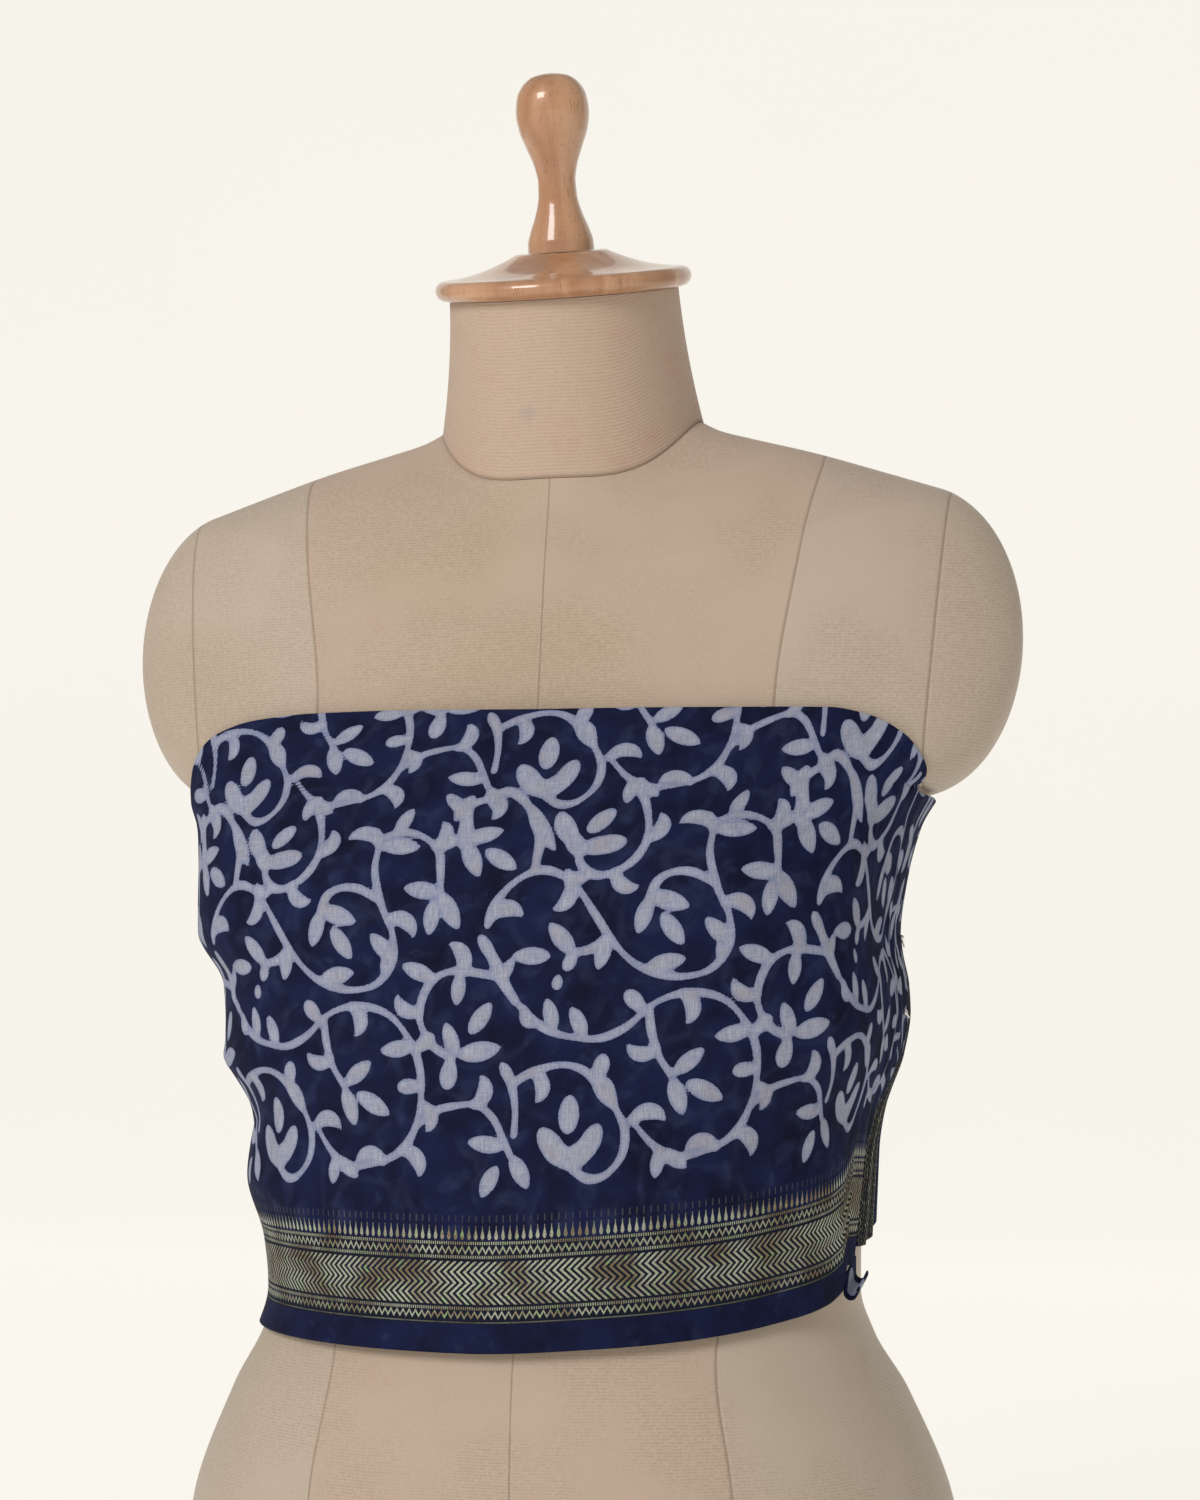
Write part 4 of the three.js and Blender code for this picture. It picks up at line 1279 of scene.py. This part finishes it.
def lengths(points: Array, axis: int) -> Array:
    """Running length along one axis of a grid of points, from 0."""
    step = np.linalg.norm(np.diff(points, axis=axis), axis=-1)
    start = np.zeros_like(np.take(step, [0], axis=axis))
    return np.concatenate([start, np.cumsum(step, axis=axis)], axis=axis)


def unit_grid(rows: int, columns: int) -> tuple[Array, Array]:
    """Shares from 0 to 1 across the columns and up the rows."""
    return np.linspace(0, 1, columns)[None, :], np.linspace(0, 1, rows)[:, None]


@dataclass
class WoundCloth:
    """The wound length of cloth: the stretches round the front and back, the hanging end and the corner."""

    block: VinePrint
    thickness: float = 0.8
    coarser: int = 3
    roll: float = 0.9
    tail: tuple[float, float, float, float, float] = (377.0, 246.0, 12.0, 15.0, 8.0)
    tail_folds: tuple[float, float, float, float] = (3.0, 1.6, 0.5, 1.0)
    corner: tuple[float, float, float, float, float, float, float] = (-17.0, 5.0, 3.0, 4.0, 2.3, 200.0, 0.5)
    drawn: tuple[float, float, float, float] = (-38.0, -14.0, 1.4, 96.0)
    rows: int = 198
    front_columns: tuple[int, int] = (280, 139)
    back_columns: tuple[int, int] = (121, 250)
    back_coarser_from: float = 30.0
    end_grid: tuple[int, int] = (109, 109)
    corner_grid: tuple[int, int] = (61, 25)
    join: float = 0.08
    fold_over: tuple[float, float, int] = (20.0, 180.0, 9)
    fold_inside: tuple[float, float, int] = (0.8, 3.2, 4)
    under_shift: tuple[float, float] = (52.0, 31.0)
    end_border: tuple[float, float] = (1.5, 14.0)
    corner_print: tuple[float, float] = (16.0, 88.0)
    left_end: float = 0.0

    def folded_top(self, points: Array) -> Array:
        """The grid with further rows that roll inwards over the top edge, square to it in the cloth's plane,
        and run a little way back inside.

        Args:
            points: The grid, in rows from the hem up.

        Returns:
            The grid with its further rows.
        """
        edge = points[-1]
        along = np.gradient(edge, axis=0)
        normal = np.cross(along, edge - points[-3])
        normal /= np.linalg.norm(normal, axis=-1, keepdims=True)
        up = np.cross(normal, along)
        up /= np.linalg.norm(up, axis=-1, keepdims=True)
        turn = np.radians(np.linspace(*self.fold_over))[:, None, None]
        over = edge + self.roll * (np.sin(turn) * up - (1 - np.cos(turn)) * normal)
        down = over[-1] - np.linspace(*self.fold_inside)[:, None, None] * up
        return np.concatenate([points, over, down])

    def sheet(self, name: str, points: Array, uv: Array, node: str) -> bpy.types.Object:
        """A closed thin sheet of cloth from a grid of points in rows from the hem up. Its inner face lies its
        thickness inwards along the normals, the cross product of the steps along and up the grid, and keeps
        every third row and column; many-cornered faces join the two round the rim.

        Args:
            name: The piece's name.
            points: The outer face.
            uv: Millimetres along the cloth and up from its hem, for each point.
            node: The node it stands for.

        Returns:
            The piece.
        """
        along, up = uv[..., 0], uv[..., 1]
        marks = {"print_distance": self.block.distance(along, up), "under_distance": self.block.distance(
            self.under_shift[0] - along, up + self.under_shift[1])}
        normal = np.cross(np.gradient(points, axis=1), np.gradient(points, axis=0))
        normal /= np.linalg.norm(normal, axis=-1, keepdims=True)
        k = self.coarser
        outer = np.arange(points[..., 0].size).reshape(points.shape[:2])
        inner = outer.size + np.arange(outer[::k, ::k].size).reshape(outer[::k, ::k].shape)
        faces = grid_quads(*outer.shape).tolist() + (grid_quads(*inner.shape)[:, ::-1] + outer.size).tolist()
        for line, within in ((outer[0, ::-1], inner[0, ::-1]), (outer[-1], inner[-1]),
                             (outer[:, 0], inner[:, 0]), (outer[::-1, -1], inner[::-1, -1])):
            step = np.arange(len(within) - 1)[:, None]
            strip = np.concatenate([line[step * k + np.arange(k + 1)], within[step + (1, 0)]], axis=1)
            faces += strip.tolist()
        inside = (points - self.thickness * normal)[::k, ::k]
        both = np.concatenate([points.reshape(-1, 3), inside.reshape(-1, 3)])
        uv = np.concatenate([uv.reshape(-1, 2), uv[::k, ::k].reshape(-1, 2)])
        marks = {mark: np.concatenate([value.ravel(), value[::k, ::k].ravel()])
                 for mark, value in marks.items()}
        made = build(name, both, faces, uv * MM, marks, None)
        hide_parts(node)
        return made

    def front(self) -> bpy.types.Object:
        """The front stretch: columns close up towards its right end, where the pins draw it into gathers.
        There each millimetre round the form holds more of the cloth, by a bell in height about the pins."""
        begin, full, more, tall = self.drawn
        wide, close = self.front_columns
        u = np.concatenate([np.linspace(CLOTH.left_join - 360 + self.join, begin, wide),
                            np.linspace(begin, 0, close)[1:]])[None, :]
        v = np.linspace(0, 1, self.rows)[:, None]
        hem = CLOTH.front_hem(np.minimum(u, CLOTH.last_hem))
        z = hem + (CLOTH.top(u) - hem) * v
        degrees = u + np.maximum(1 - u / CLOTH.squeeze, 0) * CLOTH.front_end(z)
        points = self.folded_top(cylinder(degrees, CLOTH.front(degrees, z), z))
        along, up = lengths(points, 1), lengths(points, 0)
        bell = np.exp(-((points[..., 2] - CLOTH.gather[4]) / tall) ** 2)
        held = 1 + more * smoothstep(u, begin, full) * bell
        along = np.cumsum(np.diff(along, axis=1, prepend=0.0) * held, axis=1)
        centre = int(np.argmin(np.abs(u[0] - FRONT)))
        along = along - along[:, centre:centre + 1]
        self.left_end = float(along[0, 0])
        return self.sheet("cloth_front_sheet", points, np.stack([along, up], axis=-1), "cloth_front")

    def back(self) -> bpy.types.Object:
        """The back stretch, which runs on beneath the front one at the right and meets it at the left."""
        close, wide = self.back_columns
        u = np.concatenate([
            np.linspace(CLOTH.underlap[0], self.back_coarser_from, close),
            np.linspace(self.back_coarser_from, CLOTH.left_join - self.join, wide)[1:]])[None, :]
        v = np.linspace(0, 1, self.rows)[:, None]
        hem = CLOTH.back_hem(u)
        z = hem + (CLOTH.top(u) - hem) * v
        points = self.folded_top(cylinder(u, CLOTH.back(u, z), z))
        along, up = lengths(points, 1), lengths(points, 0)
        along = along - along[:, -1:] + self.left_end
        return self.sheet("cloth_back_sheet", points, np.stack([along, up], axis=-1), "cloth_back")

    def end(self) -> bpy.types.Object:
        """The hanging end: three upright folds just outside the back stretch, its border turned upright."""
        top, bottom, slant, width, narrow = self.tail
        folds, rise, gap, offset = self.tail_folds
        u, v = unit_grid(*self.end_grid)
        low = bottom + slant * u * u
        z = low + (top - low) * v
        spread = width + (narrow - width) * smoothstep(v, 0.2, 1.0)
        degrees = CLOTH.front_end(z) + offset + u * spread
        wave = rise * (0.5 - 0.5 * np.cos(u * folds * 2 * np.pi + 0.5 * np.sin(v * 5.0) * np.sin(u * np.pi)))
        radius = CLOTH.radius(degrees, z) + 2 * CLOTH.wall + CLOTH.back_gather[1] + gap + wave
        points = cylinder(degrees, radius, z)
        across, up = lengths(points, 1), lengths(points, 0)
        more, hem = self.end_border
        uv = np.stack([up, across * more + hem], axis=-1)
        return self.sheet("cloth_end_sheet", points, uv, "cloth_tail")

    def rolled_corner(self) -> bpy.types.Object:
        """The hem's corner: it comes from under the front stretch and rolls outwards below it."""
        start, width, tuck, drop, roll, turn, straight = self.corner
        u, v = unit_grid(*self.corner_grid)
        degrees = start + u * width
        hem = CLOTH.front_hem(degrees)
        rolled = np.radians(turn * np.maximum(straight - v, 0) / straight)
        down = (1 - np.maximum((v - straight) / (1 - straight), 0)) * (tuck + drop) - tuck
        radius = CLOTH.front(degrees, hem) - CLOTH.wall - CLOTH.gap + roll * (1 - np.cos(rolled))
        points = cylinder(degrees, radius, hem - down - roll * np.sin(rolled))
        across, up = lengths(points, 1), lengths(points, 0)
        uv = np.stack([across, up], axis=-1) + self.corner_print
        return self.sheet("cloth_corner_sheet", points, uv, "cloth_corner")

    def build(self) -> list[bpy.types.Object]:
        """Build and dress the four stretches; the end gets a copy of the cloth with darker gold and amber as
        painted shade.
        """
        plain = PrintedCloth().material()
        # A copy of the cloth with darker gold and amber: painted shade on the hanging end.
        shaded_end = PrintedCloth(gold=linear(92, 84, 64), amber=linear(62, 48, 36),
                            name="printed_cloth_shaded_end").material()
        pieces = [self.front(), self.back(), self.end(), self.rolled_corner()]
        cuts = ((0.55, 0.27, "stretched", plain), (0.50, 0.25, "stretched", plain),
                (0.042, 0.13, "gathered", shaded_end), (0.012, 0.014, "folded", plain))
        for piece, (width, length, held, material) in zip(pieces, cuts):
            dressed(piece, material)
        return pieces


@dataclass(frozen=True)
class Pins:
    """The two dressmaker's pins, which keep their nodes' own shapes."""

    names: tuple[str, ...] = ("pin_upper", "pin_lower")

    def build(self) -> list[bpy.types.Object]:
        """Give the pins bright steel."""
        steel = PinSteel().material()
        pins = [bpy.data.objects[name] for name in self.names]
        for pin in pins:
            repaint(pin, steel)
        return pins


@dataclass(frozen=True)
class Studio:
    """A pale sweep, soft lights and the camera."""

    distance: float = 1.1
    height: float = 0.35
    azimuth: float = 12.0
    focal: float = 2475.0
    axis: tuple[float, float] = (568.0, 1000.0)
    image: tuple[float, float] = (1200.0, 1500.0)
    aim: float = 0.38
    ambient: float = 0.37
    sky: tuple[float, float, float] = linear(250, 246, 240)
    glow: tuple[float, float, float] = linear(248, 245, 237)
    tones: tuple[tuple[float, float, float], ...] = (linear(120, 118, 114), linear(124, 122, 118))

    def camera(self) -> bpy.types.Object:
        """A level camera on the front right; its shift puts the axis and horizon where the view has them."""
        data = bpy.data.cameras.new("camera")
        longer = max(self.image)
        data.sensor_width = 36.0
        data.lens = self.focal / longer * data.sensor_width
        data.shift_x = (self.image[0] / 2 - self.axis[0]) / longer
        data.shift_y = (self.axis[1] - self.image[1] / 2) / longer
        data.clip_start, data.clip_end = 0.01, 50.0
        made = bpy.data.objects.new("camera", data)
        turn = math.radians(self.azimuth)
        made.location = (self.distance * math.sin(turn), -self.distance * math.cos(turn), self.height)
        made.rotation_euler = (math.pi / 2, 0.0, turn)
        bpy.context.scene.collection.objects.link(made)
        bpy.context.scene.camera = made
        return made

    def paper(self) -> bpy.types.Object:
        """A floor that sweeps up into a wall: a level stretch, a quarter round and an upright stretch."""
        reach, bend, back, tall = 4.0, 1.2, 2.2, 4.0
        turn = np.radians(np.linspace(0, 90, 24))
        level = np.stack([np.linspace(-reach, back, 20), np.zeros(20)], axis=-1)
        curve = np.stack([back + bend * np.sin(turn), bend - bend * np.cos(turn)], axis=-1)[1:]
        upright = np.stack([np.full(10, back + bend), np.linspace(bend, tall, 11)[1:]], axis=-1)
        path = np.concatenate([level, curve, upright])
        x = np.linspace(-reach, reach, 3)
        points = np.stack([np.broadcast_to(x, (len(path), 3)), np.broadcast_to(path[:, :1], (len(path), 3)),
                           np.broadcast_to(path[:, 1:], (len(path), 3))], axis=-1) / MM
        made = build("paper_sweep", points, grid_quads(len(path), 3), sharp=None)
        paint = Paint("paper")
        tone = paint.noise(paint.place(), 3.0, 2)
        repaint(made, paint.finish(Base_Color=paint.mix(tone, *self.tones), Roughness=0.9,
                                   Emission_Color=self.glow, Emission_Strength=0.86))
        return made

    def light(self, name: str, place: tuple[float, float, float], size: float, watts: float,
              colour: tuple[float, float, float] = (1.0, 1.0, 1.0)) -> None:
        """A square soft light that faces the middle of the form.

        Args:
            name: Its name.
            place: Where it is, in metres.
            size: Its side, in metres.
            watts: Its power.
            colour: Its colour.
        """
        data = bpy.data.lights.new(name, "AREA")
        data.shape, data.size, data.energy, data.color = "SQUARE", size, watts, colour
        made = bpy.data.objects.new(name, data)
        made.location = place
        aim = np.array([0.0, 0.0, self.aim]) - np.array(place)
        made.rotation_euler = (math.pi - math.acos(aim[2] / np.linalg.norm(aim)), 0.0,
                               math.atan2(-aim[0], aim[1]))
        bpy.context.scene.collection.objects.link(made)

    def build(self) -> None:
        """Set the paper, lights and surrounding light."""
        self.paper()
        bpy.context.scene.view_settings.view_transform = "Standard"
        self.light("key", (-0.9, -2.1, 1.5), 0.9, 33.0, (1.0, 0.985, 0.97))
        self.light("fill", (1.9, -1.6, 1.0), 1.6, 0.8, (1.0, 0.93, 0.86))
        world = bpy.data.worlds.new("studio")
        world.use_nodes = True
        background = world.node_tree.nodes["Background"]
        background.inputs[0].default_value = (*self.sky, 1.0)
        background.inputs[1].default_value = self.ambient
        bpy.context.scene.world = world


def main() -> None:
    """Build the studio, the form, the cloth and the pins in order, and log how many faces each piece has."""
    logging.basicConfig(level=logging.INFO, format="%(name)s: %(message)s")
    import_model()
    studio = Studio()
    studio.camera()
    pieces = DressForm().build() + WoundCloth(block=VinePrint()).build() + Pins().build()
    studio.build()
    for piece in pieces:
        LOG.info("%s: %d faces", piece.name, len(piece.data.polygons))


if __name__ == "__main__":
    main()
